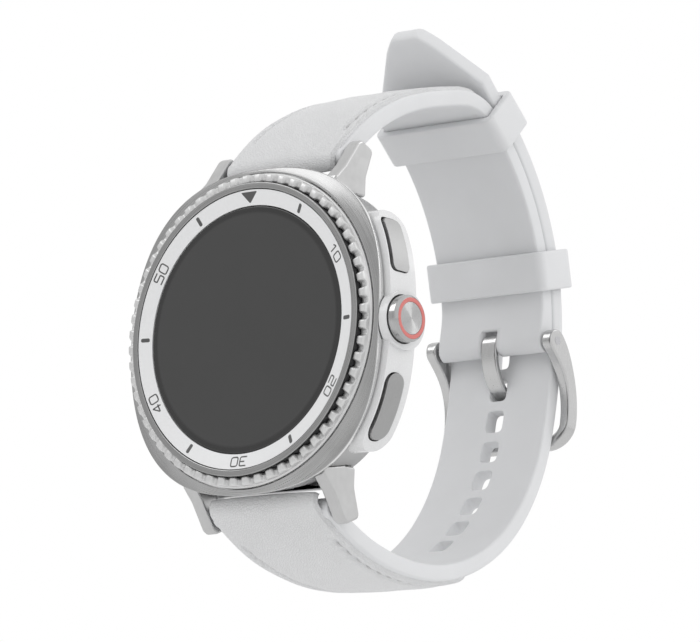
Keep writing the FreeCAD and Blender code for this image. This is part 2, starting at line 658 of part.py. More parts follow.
feature("case_top_plate", top_plate)
# A thin dark gasket, set in from the edge, keeps the plate just clear of the case.
gasket = cushion_block(value("plate_half - gasket_inset"), plate_back, value("case_front"))
feature("plate_gasket", gasket.cut(cylinder_y(plate_back, value("case_front"), 0, 0, plate_hole)))
feature("bezel_detent_pins", Part.makeCompound(plungers))
feature("bezel_detent_springs", Part.makeCompound(plunger_springs))

gap = value("button_gap")
half_tall = value("button_half_tall")


def button_bar(start, name, extra, set_back):
    """The straight-sided bar that a side button or its slot is cut with."""
    low = value(name + "_low") - extra
    high = value(name + "_high") + extra
    corner = value("upper_corner") if name == "upper" else half_tall - gap - set_back / 2
    return rounded_x(start, REACH, button_y - half_tall - extra + set_back,
                     button_y + half_tall + extra, low, high, corner + extra)


guard_start = value("guard_start")
guard = cushion_block(value("guard_half"), value("guard_front"), value("guard_back"))
guard = guard.common(rounded_x(guard_start, REACH, value("guard_front"), value("guard_back"),
                               value("guard_bottom"), value("guard_top"), value("guard_corner")))
boss_start = value("case_back_half - boss_root")
boss = cylinder_x(boss_start, value("boss_reach"), value("boss_y"), 0, value("boss_radius"))
guard = guard.fuse(boss).cut(case_block())
guard = guard.cut(cushion_block(value("plate_half") + gap, -REACH, value("case_front")))
for name in ("upper", "lower"):
    guard = guard.cut(button_bar(guard_start, name, gap, 0.0))
quick_floor = value("quick_root - button_travel") - gap
guard = guard.cut(cylinder_x(quick_floor, REACH, quick_y, 0, value("quick_radius") + gap))
guard = guard.cut(cylinder_x(guard_start, REACH, quick_y, 0, stem_radius + gap))
feature("side_guard", guard)

# ---------------------------------------------------------------- push buttons
cap_shell = cushion_block(value("button_half"), -REACH, 0)
cap_shell = cap_shell.cut(cushion_block(value("button_half - button_thick"), -REACH, 0))
for name in ("upper", "lower"):
    stem = stems[name + "_button"]
    cap = cap_shell.common(
        button_bar(guard_start, name, 0.0, value("button_set_back")))
    stem_tip = cushion_x(value("button_half - button_thick"), stem.height) + value("stem_bite")
    post = cylinder_x(stem.inner, stem_tip, stem.depth, stem.height, stem_radius)
    feature(name + "_button_cap", cap.cut(post))
    feature(name + "_button_stem", post)


def turned_x(label, depth, corners):
    """A piece turned about an axis along X at a depth: corners are (x, radius)."""
    body = new_body(label)
    sketch = new_sketch(body, "XY_Plane", label + "_profile")
    bind(sketch, "AttachmentOffset.Base.y", depth)
    add_outline(sketch, corners)
    spin = body.newObject("PartDesign::Revolution", label + "_turn")
    spin.Profile = sketch
    spin.ReferenceAxis = (sketch, ["H_Axis"])
    spin.Angle = FULL_TURN
    return body


turned_x("quick_button_cap", "quick_y", [
    ("quick_root", "0"), ("quick_face - quick_inlay", "0"),
    ("quick_face - quick_inlay", "quick_ring_outer"),
    ("quick_face", "quick_ring_outer"), ("quick_face - quick_bevel", "quick_radius"),
    ("quick_root", "quick_radius")])
turned_x("quick_button_ring", "quick_y", [
    ("quick_face - quick_inlay", "quick_ring_inner"), ("quick_face", "quick_ring_inner"),
    ("quick_face", "quick_ring_outer"), ("quick_face - quick_inlay", "quick_ring_outer")])
turned_x("quick_button_disc", "quick_y", [
    ("quick_face - quick_inlay", "0"), ("quick_face", "0"), ("quick_face", "quick_disc_radius"),
    ("quick_face - quick_inlay", "quick_disc_radius")])
rod("quick_button_stem", "frame_radius", "quick_root", "quick_y", "0", "stem_radius")

seals = []
switches = []
switch_half = value("switch_half")
for stem in stems.values():
    whole = cylinder_x(stem.oring, stem.oring_end, stem.depth, stem.height,
                       value("button_oring_radius"))
    inside = cylinder_x(stem.oring, stem.oring_end, stem.depth, stem.height,
                        value("stem_radius + stem_gap"))
    seals.append(whole.cut(inside))
    switches.append(block(
        vec(stem.switch - value("switch_tall"), stem.depth - switch_half, stem.height - switch_half),
        vec(stem.switch, stem.depth + switch_half, stem.height + switch_half)))
feature("button_seals", Part.makeCompound(seals))
feature("button_switches", Part.makeCompound(switches))

# ---------------------------------------------------------------- inside of the head
fit = value("fit_gap")
battery_low = vec(value("battery_x - battery_wide / 2"), value("battery_front"), -value("battery_high / 2"))
battery_high = vec(value("battery_x + battery_wide / 2"), value("battery_back"), value("battery_high / 2"))
motor_end = value("motor_long") / 2
motor_y = value("battery_front") + value("motor_radius") + fit
speaker_low = vec(-value("speaker_wide / 2"), value("battery_front"), value("speaker_z - speaker_high / 2"))
speaker_high = vec(value("speaker_wide / 2"), value("battery_front + speaker_tall"),
                   value("speaker_z + speaker_high / 2"))
# chips on the back of the board: centre x, centre z, width, height
CHIPS = ((-7.0, 3.0, 9.0, 9.0), (3.0, 4.0, 6.0, 7.0), (-6.0, -5.5, 7.0, 4.5), (3.5, -4.5, 4.0, 4.0))


def widened(low, high, by, back):
    """A pocket round a box, open towards the wrist as far as a depth."""
    return block(vec(low.x - by, low.y - by / 2, low.z - by), vec(high.x + by, back, high.z + by))


frame_back = value("ledge_front")
inner_frame = cylinder_y(value("board_back"), frame_back, 0, 0, value("frame_radius"))
inner_frame = inner_frame.cut(widened(battery_low, battery_high, fit, 0))
inner_frame = inner_frame.cut(widened(speaker_low, speaker_high, fit, 0))
inner_frame = inner_frame.cut(block(vec(battery_low.x, value("board_back"), battery_low.z),
                                    vec(battery_high.x, battery_low.y, battery_high.z)))
inner_frame = inner_frame.cut(block(
    vec(-motor_end - fit, motor_y - value("motor_radius") - fit / 2, value("motor_z - motor_radius") - fit),
    vec(motor_end + fit, 0, value("motor_z + motor_radius") + fit)))
for stem in stems.values():
    pocket = value("switch_half") + fit
    inner_frame = inner_frame.cut(block(
        vec(stem.switch - value("switch_tall"), stem.depth - pocket, stem.height - pocket),
        vec(REACH, stem.depth + pocket, stem.height + pocket)))
frame_screws = []
head_back = value("frame_screw_front + screw_head_tall")
for x, z in around(FRAME_SCREWS, value("frame_screw_circle"), value("frame_screw_angle")):
    shank = cylinder_y(head_back, value("cover_seat") - fit, x, z, value("screw_shank"))
    head = cylinder_y(value("frame_screw_front"), head_back, x, z, value("frame_screw_head"))
    frame_screws.append(head.fuse(shank))
    inner_frame = inner_frame.cut(shank)
    inner_frame = inner_frame.cut(cylinder_y(value("board_back"), head_back, x, z,
                                             value("frame_screw_head") + fit))
feature("inner_frame", inner_frame)
feature("frame_screws", Part.makeCompound(frame_screws))
feature("battery", block(battery_low, battery_high))
feature("vibration_motor",
        cylinder_x(-motor_end, motor_end, motor_y, value("motor_z"), value("motor_radius")))
feature("speaker", block(speaker_low, speaker_high))
board_back = value("board_back")
feature("board_chips", Part.makeCompound([
    block(vec(x - wide / 2, board_back, z - high / 2),
          vec(x + wide / 2, board_back + value("chip_tall"), z + high / 2)) for x, z, wide, high in CHIPS]))
led_half = value("led_side") / 2
feature("sensor_leds", Part.makeCompound([
    block(vec(x - led_half, value("sensor_back"), z - led_half),
          vec(x + led_half, value("sensor_back + led_tall"), z + led_half))
    for x, z in around(6, value("led_place"), 0)]))
cover_screws = []
for x, z in around(COVER_SCREWS, value("screw_circle"), value("cover_screw_angle")):
    head_front = value("cover_back - screw_head_tall")
    head = cylinder_y(head_front, value("cover_back"), x, z, value("screw_head"))
    cover_screws.append(head.fuse(
        cylinder_y(value("cover_seat - screw_long"), head_front, x, z, value("screw_shank"))))
feature("back_cover_screws", Part.makeCompound(cover_screws))

# ---------------------------------------------------------------- lug brackets
# One prong's side, from where it leaves the case out past the strap pin: (y, z beyond the pin).
PRONG_NOSE = ((-8.2, -6.6), (-8.2, -3.8), (-6.2, -1.8), (-3.6, 1.9), (-2.75, 2.35), (-0.5, 1.35),
              (-0.35, 0.7))
pin_z = value("pin_z")
# ... and on round the tongue that hooks under the case, back to the start.
PRONG = tuple((y, pin_z + beyond) for y, beyond in PRONG_NOSE) + (
    (value("tongue_back"), value("tongue_high")), (value("tongue_back"), value("tongue_low")),
    (value("tongue_floor"), value("tongue_low")))
prong_inner = value("prong_inner")
prong_outer = value("prong_outer")
prong_side = Part.makePolygon([vec(prong_inner, y, z) for y, z in PRONG + PRONG[:1]])
prong = Part.Face(prong_side).extrude(X_WAY * (prong_outer - prong_inner))
bracket = block(vec(-prong_outer, value("tongue_front"), value("tongue_low")),
                vec(prong_outer, value("tongue_back"), value("tongue_high")))
bracket = bracket.fuse(prong).fuse(prong.mirror(vec(0, 0, 0), X_WAY))
above_tongue = block(vec(-REACH, -REACH, -REACH), vec(REACH, value("tongue_floor + bracket_gap"), REACH))
bracket = bracket.cut(case_block(value("bracket_gap")).common(above_tongue))
bracket = bracket.cut(cylinder_x(-value("pin_reach"), value("pin_reach"), value("pin_y"),
                                 value("pin_z"), value("pin_radius")))


def release_bar(front, back, extra):
    wide = value("release_half_wide") + extra
    return block(vec(-wide, front, value("release_low") - extra),
                 vec(wide, back, value("release_high") + extra))


bracket = bracket.cut(release_bar(-REACH, 0, gap))
flange_back = value("tongue_front") - value("stem_gap")
release = release_bar(flange_back, value("tongue_back + release_proud"), 0.0)
release = release.fuse(release_bar(flange_back - value("release_flange_tall"), flange_back,
                                   value("release_flange")))
for name, flip in (("upper", False), ("lower", True)):
    for label, shape in (("_lug_bracket", bracket), ("_lug_release", release)):
        feature(name + label, shape.mirror(vec(0, 0, 0), Z_WAY) if flip else shape)
rod("upper_strap_pin", "-(pin_reach)", "pin_reach", "pin_y", "pin_z", "pin_radius")
rod("lower_strap_pin", "-(pin_reach)", "pin_reach", "pin_y", "-(pin_z)", "pin_radius")

# ---------------------------------------------------------------- strap halves
lug_width = value("lug_width")
buckle_y = value("buckle_y")
buckle_z = value("buckle_z")
buckle_bore = value("buckle_pin_radius + pin_bore_gap")


def knuckle(height, radius):
    return cylinder_x(-lug_width / 2, lug_width / 2, value("pin_y"), height, radius)


def strap_half(path, side):
    solid = path.strip(-half_thick, half_thick, lug_width)
    solid = solid.fuse(knuckle(side * value("pin_z"), value("knuckle")))
    return solid.cut(knuckle(side * value("pin_z"), value("pin_radius + pin_bore_gap")))


upper_strap = strap_half(short_path, 1)
upper_strap = upper_strap.fuse(cylinder_x(-lug_width / 2, lug_width / 2, buckle_y, buckle_z,
                                          value("buckle_knuckle")))
upper_strap = upper_strap.cut(cylinder_x(-lug_width, lug_width, buckle_y, buckle_z, buckle_bore))
slot_half = value("tang_slot") / 2
slot_low = buckle_z - value("buckle_knuckle") * 2
upper_strap = upper_strap.cut(block(vec(-slot_half, buckle_y - REACH / 4, slot_low),
                                    vec(slot_half, buckle_y + REACH / 4, value("tang_slot_top"))))
feature("upper_strap", tapered(upper_strap, 0.0).removeSplitter())

lower_strap = strap_half(long_path, -1)
hole_wide = value("hole_wide")
hole_long = value("hole_long")
hole_tall = value("strap_thick") * 2
for number in range(int(value("hole_count"))):
    station = arc_reached + value("hole_first") - number * value("hole_pitch")
    punch = block(vec(-hole_wide / 2, -hole_long / 2, -hole_tall / 2),
                  vec(hole_wide / 2, hole_long / 2, hole_tall / 2))
    upright = [edge for edge in punch.Edges
               if abs(edge.Vertexes[0].Z - edge.Vertexes[-1].Z) > hole_tall / 2]
    punch = punch.makeFillet(value("hole_corner"), upright)
    lower_strap = lower_strap.cut(set_square(punch, long_path.at(station)))
# The free tip narrows to a flat end with cut corners.
tip_half = value("tip_width") / 2
full_half = lug_width / 2
tip_length = value("tip_taper")
chamfer = value("tip_chamfer")
tip_plan = [(-full_half, -tip_length), (full_half, -tip_length), (tip_half, -chamfer),
            (tip_half - chamfer, 0), (chamfer - tip_half, 0), (-tip_half, -chamfer)]
tip_block = block(vec(-lug_width, -tip_length, -hole_tall), vec(lug_width, hole_tall, hole_tall))
tip_keep = Part.Face(Part.makePolygon([vec(x, y, -hole_tall) for x, y in tip_plan + tip_plan[:1]]))
tip_waste = tip_block.cut(tip_keep.extrude(Z_WAY * hole_tall * 2))
lower_strap = lower_strap.cut(set_square(tip_waste, long_path.at(long_path.length())))
feature("lower_strap", tapered(lower_strap, 0.0).removeSplitter())


def leather(path, side, length):
    """The leather panel on the outside of one half, wrapped round its end at the lug."""
    outer = half_thick + value("leather_thick")
    low, high = (half_thick, outer) if side > 0 else (-outer, -half_thick)
    heading = path.arcs[0][2]
    nose_y = value("pin_y") - value("leather_nose") * math.cos(heading)
    nose_z = side * value("pin_z") - value("leather_nose") * math.sin(heading)
    lead = Path(nose_y, nose_z, heading)
    lead.add(value("leather_nose"), 0.0)
    panel = path.cut(0.0, length).strip(low, high, lug_width).fuse(lead.strip(low, high, lug_width))
    # The nose is a slice of a round bar, from straight out of the strap on round towards the case.
    outward = heading + side * math.pi / 2
    wrap = math.radians(value("leather_wrap")) * side
    corner = vec(-lug_width / 2, nose_y, nose_z)
    rays = [vec(0, math.cos(outward + wrap * share), math.sin(outward + wrap * share)) * REACH
            for share in (0.0, 0.5, 1.0)]
    wedge = [corner] + [corner + ray for ray in rays] + [corner]
    nose = Part.Face(Part.makePolygon(wedge)).extrude(X_WAY * lug_width)
    bar = cylinder_x(-lug_width / 2, lug_width / 2, nose_y, nose_z, outer)
    panel = panel.fuse(nose.common(bar)).cut(knuckle(side * value("pin_z"), value("knuckle")))
    return tapered(panel, value("leather_margin")).removeSplitter()


feature("upper_strap_leather", leather(short_path, 1, value("leather_short")))
feature("lower_strap_leather", leather(long_path, -1, value("leather_long")))

# ---------------------------------------------------------------- keepers
for name in ("upper", "lower"):
    label = name + "_keeper"
    body = new_body(label)
    sketch = new_sketch(body, "XY_Plane", label + "_section", "-(keeper_wide) / 2")
    wide = "strap_width / 2 + keeper_gap"
    low = "short_radius - strap_thick / 2 - keeper_gap"
    high = "short_radius + strap_thick * 1.5 + lap_gap + keeper_gap"
    add_outline(sketch, rectangle("-(%s + keeper_wall)" % wide, wide + " + keeper_wall",
                                  low + " - keeper_wall", high + " + keeper_wall"))
    add_outline(sketch, rectangle("-(%s)" % wide, wide, low, high))
    pad = body.newObject("PartDesign::Pad", label + "_pad")
    pad.Profile = sketch
    bind(pad, "Length", "keeper_wide")
    doc.recompute()
    outer_x = value(wide + " + keeper_wall")
    corners = ["Edge%d" % (number + 1) for number, edge in enumerate(pad.Shape.Edges)
               if abs(edge.Vertexes[0].Z - edge.Vertexes[-1].Z) > value("keeper_wide") / 2
               and abs(abs(edge.Vertexes[0].X) - outer_x) < 1e-3]
    fillet = body.newObject("PartDesign::Fillet", label + "_corners")
    fillet.Base = (pad, corners)
    bind(fillet, "Radius", "keeper_corner")
    body.Tip = fillet
    body.Placement.Rotation = FreeCAD.Rotation(X_WAY, value(name + "_keeper_angle"))
    bind(body, "Placement.Base.y", "arc_y")
    bind(body, "Placement.Base.z", "arc_z")
    bind(body, "Placement.Rotation.Angle", name + "_keeper_angle")

# ---------------------------------------------------------------- buckle
bar_y = value("bar_y")
bar_z = value("bar_z")
arm_inner = value("arm_inner")
arm_outer = value("arm_outer")
arm_half = value("arm_half")
eye_radius = value("eye_radius")
chord = math.hypot(bar_y - buckle_y, bar_z - buckle_z)
lean = math.atan2(bar_z - buckle_z, bar_y - buckle_y)
half_bow = 2 * math.atan(2 * value("arm_bulge") / chord)
arm_path = Path(buckle_y, buckle_z, lean + half_bow)
arm_path.add(chord * half_bow / math.sin(half_bow), -2 * half_bow)
arm = arm_path.strip(-arm_half, arm_half, arm_outer - arm_inner)
arm.translate(vec((arm_inner + arm_outer) / 2, 0, 0))
arm = arm.fuse(cylinder_x(arm_inner, arm_outer, buckle_y, buckle_z, eye_radius))
arm = arm.fuse(cylinder_x(arm_inner, arm_outer, bar_y, bar_z, value("bar_radius")))
frame = arm.fuse(arm.mirror(vec(0, 0, 0), X_WAY))
frame = frame.fuse(cylinder_x(-arm_outer, arm_outer, bar_y, bar_z, value("bar_radius")))
frame = frame.cut(cylinder_x(-arm_outer, arm_outer, buckle_y, buckle_z, buckle_bore))
feature("buckle_frame", frame.removeSplitter())
rod("buckle_pin", "-(arm_outer)", "arm_outer", "buckle_y", "buckle_z", "buckle_pin_radius")

tang_half = value("tang_half")
tang_wide = value("tang_wide")
tang_eye = value("tang_eye")
tang_path = Path(buckle_y - tang_eye + tang_half, buckle_z, -math.pi / 2)
tang_path.add(value("tang_straight"), 0.0)
for stop in ("mid", "out", "tip"):
    tang_path.add_biarc(value("tang_%s_y" % stop), value("tang_%s_z" % stop),
                        math.radians(value("tang_%s_heading" % stop)))
tang = tang_path.strip(-tang_half, tang_half, tang_wide)
tang = tang.fuse(cylinder_x(-tang_wide / 2, tang_wide / 2, buckle_y, buckle_z, tang_eye))
tang = tang.cut(cylinder_x(-tang_wide, tang_wide, buckle_y, buckle_z,
                           value("buckle_pin_radius + tang_eye_gap")))
feature("buckle_tang", tang.removeSplitter())

# ---------------------------------------------------------------- checks and files
doc.recompute()
for item in doc.Objects:
    if "Invalid" in item.State or "Error" in item.State:
        raise RuntimeError("%s is left in state %s" % (item.Label, item.State))
for piece in pieces:
    if piece.Shape.isNull() or not piece.Shape.isValid() or piece.Shape.Volume <= 0:
        raise RuntimeError("%s has no sound shape" % piece.Label)
blank_volume = groove.BaseFeature.Shape.Volume
if not groove.Shape.Volume < blank_volume or not grip.Shape.Volume < groove.Shape.Volume:
    raise RuntimeError("the grip ring's notches cut nothing")

os.makedirs("parts", exist_ok=True)
for piece in pieces:
    piece.Shape.exportStep("parts/%s.step" % piece.Label)
print("%d pieces, strap lengths %.1f and %.1f mm" % (len(pieces), short_path.length(), long_path.length()))
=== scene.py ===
import json
import math

import bmesh
import bpy
import numpy as np
from mathutils import Matrix, Vector


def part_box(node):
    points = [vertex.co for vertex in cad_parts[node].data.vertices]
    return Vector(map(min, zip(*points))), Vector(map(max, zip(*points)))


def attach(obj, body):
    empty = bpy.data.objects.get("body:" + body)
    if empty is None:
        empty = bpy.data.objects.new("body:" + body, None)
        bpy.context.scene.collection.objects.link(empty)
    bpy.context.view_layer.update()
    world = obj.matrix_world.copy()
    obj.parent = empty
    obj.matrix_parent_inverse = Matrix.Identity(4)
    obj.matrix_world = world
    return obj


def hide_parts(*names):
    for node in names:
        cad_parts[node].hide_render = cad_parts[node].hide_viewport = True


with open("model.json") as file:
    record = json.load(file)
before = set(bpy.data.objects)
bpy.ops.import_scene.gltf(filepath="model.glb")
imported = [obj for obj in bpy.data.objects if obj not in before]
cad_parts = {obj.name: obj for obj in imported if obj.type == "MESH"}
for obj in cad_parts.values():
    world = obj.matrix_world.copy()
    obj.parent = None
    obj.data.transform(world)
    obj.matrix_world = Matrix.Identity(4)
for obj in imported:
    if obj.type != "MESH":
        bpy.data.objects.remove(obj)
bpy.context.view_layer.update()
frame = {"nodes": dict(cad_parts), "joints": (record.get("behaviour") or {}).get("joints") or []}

# ---------------------------------------------------------------- case body
# The case is one block of aluminium, milled to a soft cushion and bead-blasted, so it is an even,
# fine-grained grey. Every other piece of the head is fixed to it.
MM = 0.001
MERGE = 0.0008
FULL_TURN = 2 * math.pi
NOISE_RANGE = (0.3, 0.7)


class Wire:
    """A value on its way between two nodes: working with it adds the Math node that does the sum."""

    def __init__(self, finish, socket):
        self.finish = finish
        self.socket = socket

    def sum_of(self, operation, first, second=0.0):
        return self.finish.node("Math", {"operation": operation}, {0: first, 1: second})

    def __add__(self, other):
        return self.sum_of("ADD", self, other)

    def __sub__(self, other):
        return self.sum_of("SUBTRACT", self, other)

    def __rsub__(self, other):
        return self.sum_of("SUBTRACT", other, self)

    def __mul__(self, other):
        return self.sum_of("MULTIPLY", self, other)

    def __truediv__(self, other):
        return self.sum_of("DIVIDE", self, other)

    def __pow__(self, other):
        return self.sum_of("POWER", self, other)

    __radd__ = __add__
    __rmul__ = __mul__


class Finish:
    """A material with one Principled shader, whose even values are set on its own sockets."""

    def __init__(self, name, **even):
        self.material = bpy.data.materials.new(name)
        self.material.use_nodes = True
        self.tree = self.material.node_tree
        self.shader = self.tree.nodes["Principled BSDF"]
        for socket, number in even.items():
            self.shader.inputs[socket.replace("_", " ")].default_value = number

    def node(self, kind, settings, inputs, out=0):
        made = self.tree.nodes.new("ShaderNode" + kind)
        for key, setting in settings.items():
            setattr(made, key, setting)
        for key, given in inputs.items():
            self.give(made.inputs[key], given)
        return Wire(self, made.outputs[out])

    def give(self, socket, given):
        if isinstance(given, Wire):
            self.tree.links.new(given.socket, socket)
        else:
            socket.default_value = given

    def feed(self, **varying):
        for socket, given in varying.items():
            self.give(self.shader.inputs[socket.replace("_", " ")], given)

    def place(self):
        """Object coordinates in millimetres."""
        spot = self.node("TexCoord", {}, {}, "Object")
        return self.node("VectorMath", {"operation": "SCALE"}, {0: spot, "Scale": 1 / MM})

    def grain(self, stretch, detail=3.0, spot=None):
        """Noise whose cells measure 1 / stretch millimetres along each axis."""
        where = self.node("VectorMath", {"operation": "MULTIPLY"}, {0: spot or self.place(), 1: stretch})
        return self.node("TexNoise", {}, {"Vector": where, "Scale": 1.0, "Detail": detail})

    def ramp(self, value, low, high, first=0.0, last=1.0):
        """Carries a value from low..high to first..last, held at both ends."""
        return self.node("MapRange", {}, {"Value": value, "From Min": low, "From Max": high,
                                          "To Min": first, "To Max": last})

    def axis(self, spot, index):
        """One coordinate of a place."""
        return self.node("SeparateXYZ", {}, {0: spot}, index)

    def reach(self, spot):
        """Distance from the dial's axis: the root of x squared and z squared."""
        across = self.axis(spot, 0)
        upward = self.axis(spot, 2)
        return (across * across + upward * upward) ** 0.5

    def cover(self, share, colour, rough, metal):
        """Lays another finish over what the shader already has, as far as a share of 0..1."""
        for socket, other in (("Base Color", colour), ("Roughness", rough), ("Metallic", metal)):
            slot = self.shader.inputs[socket]
            present = Wire(self, slot.links[0].from_socket) if slot.is_linked else slot.default_value
            if socket == "Base Color":
                self.give(slot, self.mix(share, present, other))
            else:
                self.give(slot, share * other + (1 - share) * present)

    def mix(self, share, first, second):
        return self.node("Mix", {"data_type": "RGBA"}, {0: share, 6: first, 7: second}, 2)

    def relief(self, height, depth):
        """Feeds the normal from a height of 0..1 that stands for a depth in millimetres."""
        self.feed(Normal=self.node("Bump", {}, {"Height": height, "Distance": depth * MM}))

    def surface(self, tone, dark, light, fine, rough, depth=None):
        """Colour from dark to light by a tone, roughness and relief by a fine grain."""
        self.feed(Base_Color=self.mix(tone, dark, light), Roughness=self.ramp(fine, *NOISE_RANGE, *rough))
        if depth:
            self.relief(fine, depth)


def grey(shade, tint=0.0):
    """An opaque colour; tint takes it towards blue."""
    return (shade - tint / 2, shade, shade + tint, 1.0)


def painted(node, finish):
    """Gives a CAD piece its finish."""
    slots = frame["nodes"][node].data.materials
    slots.clear()
    slots.append(finish.material)


def in_scene(name, data):
    """A new object in the scene."""
    thing = bpy.data.objects.new(name, data)
    bpy.context.scene.collection.objects.link(thing)
    return thing


def eased(node, finish, body, width, turn=32.0, segments=3, clamped=True):
    """A copy of a CAD piece with every fold sharper than turn degrees rounded over a width."""
    source = frame["nodes"][node].data
    spots = np.empty(len(source.vertices) * 3)
    source.vertices.foreach_get("co", spots)
    corners = np.empty(len(source.loops), int)
    source.loops.foreach_get("vertex_index", corners)
    mesh = bpy.data.meshes.new(node + "_eased")
    mesh.from_pydata(spots.reshape(-1, 3).tolist(), [], corners.reshape(-1, 3).tolist())
    work = bmesh.new()
    work.from_mesh(mesh)
    bmesh.ops.remove_doubles(work, verts=work.verts, dist=MERGE * MM)
    bmesh.ops.dissolve_limit(work, angle_limit=math.radians(0.4), verts=work.verts, edges=work.edges)
    work.to_mesh(mesh)
    work.free()
    mesh.shade_smooth()
    mesh.materials.append(finish.material)
    thing = in_scene(node + "_eased", mesh)
    rounding = thing.modifiers.new("rounding", "BEVEL")
    rounding.width = width * MM
    rounding.segments = segments
    rounding.limit_method = "ANGLE"
    rounding.angle_limit = math.radians(turn)
    rounding.harden_normals = True
    rounding.use_clamp_overlap = clamped
    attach(thing, body)
    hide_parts(node)
    return thing


def corners_of(node):
    """A CAD piece's lowest and highest corner, in millimetres."""
    low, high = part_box(node)
    return np.array(low) / MM, np.array(high) / MM


blasted = Finish("blasted_aluminium", Metallic=1.0)
speckle = blasted.grain((14, 14, 14))
cloud = blasted.grain((0.25, 0.25, 0.25))
blasted.surface(cloud, grey(0.44), grey(0.52), speckle, (0.34, 0.46), 0.006)
painted("case_body", blasted)

# ---------------------------------------------------------------- inside of the head
# Board, battery, speaker, motor, coil and their frame lie between the display and the back cover.
# They are made of board laminate, foil, copper wire, ferrite and moulded plastic, each with its own grain.
INSIDE = {
    "board_green": ((0.02, 0.12, 0.05, 1), (0.03, 0.2, 0.08, 1), 0.0, 0.45, (3, 3, 3), 0.01),
    "chip_black": ((0.015, 0.015, 0.016, 1), (0.04, 0.04, 0.042, 1), 0.0, 0.5, (9, 9, 9), 0.01),
    "cell_foil": ((0.42, 0.42, 0.44, 1), (0.6, 0.6, 0.62, 1), 1.0, 0.32, (1.5, 1.5, 9), 0.02),
    "coil_copper": ((0.5, 0.2, 0.08, 1), (0.8, 0.36, 0.16, 1), 1.0, 0.3, (6, 6, 6), 0.02),
    "ferrite": ((0.05, 0.05, 0.05, 1), (0.09, 0.088, 0.085, 1), 0.0, 0.7, (7, 7, 7), 0.02),
    "seal_rubber": ((0.02, 0.02, 0.02, 1), (0.05, 0.05, 0.05, 1), 0.0, 0.65, (11, 11, 11), 0.01),
    "slide_polymer": ((0.7, 0.7, 0.66, 1), (0.8, 0.8, 0.77, 1), 0.0, 0.4, (6, 6, 6), 0.005),
    "display_black": ((0.008, 0.008, 0.009, 1), (0.014, 0.014, 0.016, 1), 0.0, 0.2, (2, 2, 2), 0.002),
    "black_polymer": ((0.012, 0.012, 0.013, 1), (0.03, 0.03, 0.032, 1), 0.0, 0.42, (12, 12, 12), 0.008),
    "pin_steel": ((0.4, 0.4, 0.41, 1), (0.62, 0.62, 0.64, 1), 1.0, 0.25, (1, 9, 9), 0.006),
    "red_enamel": ((0.62, 0.16, 0.15, 1), (0.7, 0.21, 0.19, 1), 0.0, 0.28, (8, 8, 8), 0.003),
}
inner_finishes = {}
for name, (dark, light, metal, rough, stretch, depth) in INSIDE.items():
    made = Finish(name, Metallic=metal)
    texture = made.grain(stretch)
    made.surface(texture, dark, light, texture, (rough - 0.06, rough + 0.08), depth)
    inner_finishes[name] = made
for name, thing in frame["nodes"].items():
    kind = thing.data.materials[0].name
    if kind in inner_finishes:
        painted(name, inner_finishes[kind])

# ---------------------------------------------------------------- back cover and sensor window
# The back cover is a moulded plate with a spark-eroded, slightly pebbled skin, held by four screws.
# Its middle is a polished window of dark glass over the optical sensor.
back_skin = Finish("back_cover_skin", Roughness=0.5)
pebble = back_skin.grain((6, 6, 6))
back_skin.surface(pebble, grey(0.36), grey(0.43), pebble, (0.42, 0.58), 0.02)
eased("back_cover", back_skin, "watch", 0.1)
window_glass = Finish("sensor_window_glass", Coat_Weight=1.0, Coat_Roughness=0.03)
smear = window_glass.grain((0.5, 0.5, 0.5))
window_glass.surface(smear, grey(0.006), grey(0.012), smear, (0.08, 0.16))
eased("sensor_window", window_glass, "watch", 0.12)

# ---------------------------------------------------------------- top plate
# A steel plate lies over the front of the case, dished round the bezel. It is brushed round the dial,
# and its outer edge is polished; its bevel and outer side are painted a lighter grey, a painted highlight
# that stands for the thin bright line along the edge.
def brushed_round(name, dark, light, rough, lines, depth, blotch=0.3):
    """A steel finish with fine lines that run round the dial's axis."""
    made = Finish(name, Metallic=1.0)
    spot = made.place()
    across = made.axis(spot, 0)
    upward = made.axis(spot, 2)
    reach = made.reach(spot)
    way = made.node("CombineXYZ", {}, {0: across / reach * 2.5, 1: reach * lines, 2: upward / reach * 2.5})
    hair = made.grain((1, 1, 1), 2.0, way)
    cloud = made.grain((blotch, blotch, blotch), 2.0, spot)
    made.surface(hair * 0.5 + cloud * 0.5, dark, light, hair, (rough - 0.05, rough + 0.07), depth)
    return made


plate_steel = brushed_round("plate_steel", grey(0.26), grey(0.52), 0.26, 9, 0.004, 0.16)


def rounded(corners, radii, steps=4, closed=True):
    """Corners of an outline eased by curves: (1-t)^2 a + 2t(1-t) corner + t^2 b for each."""
    corners = np.array(corners, float)
    radii = np.broadcast_to(np.array(radii, float), len(corners)).copy()
    if not closed:
        radii[[0, -1]] = 0.0
    before = np.roll(corners, 1, 0) - corners
    after = np.roll(corners, -1, 0) - corners
    length_before = np.linalg.norm(before, axis=1)
    length_after = np.linalg.norm(after, axis=1)
    reach = np.minimum(radii, np.minimum(length_before, length_after) * 0.49)[:, None]
    start = (corners + before / length_before[:, None] * reach)[:, None]
    finish = (corners + after / length_after[:, None] * reach)[:, None]
    share = np.linspace(0, 1, steps)[None, :, None]
    curve = (1 - share) ** 2 * start + 2 * share * (1 - share) * corners[:, None] + share ** 2 * finish
    flat = curve.reshape(-1, corners.shape[1])
    keep = np.ones(len(flat), bool)
    keep[1:] = np.linalg.norm(np.diff(flat, axis=0), axis=1) > 1e-9
    return flat[keep]


def panel(grid, loop=True, ring=False):
    """Points and faces over a grid; loop closes each row on itself, ring joins the last row to the first."""
    rows, columns = grid.shape[:2]
    index = np.arange(rows * columns).reshape(rows, columns)
    if ring:
        index = np.vstack([index, index[:1]])
    if loop:
        index = np.hstack([index, index[:, :1]])
    faces = np.stack([index[:-1, :-1], index[1:, :-1], index[1:, 1:], index[:-1, 1:]], -1)
    return grid.reshape(-1, 3), faces.reshape(-1, 4)


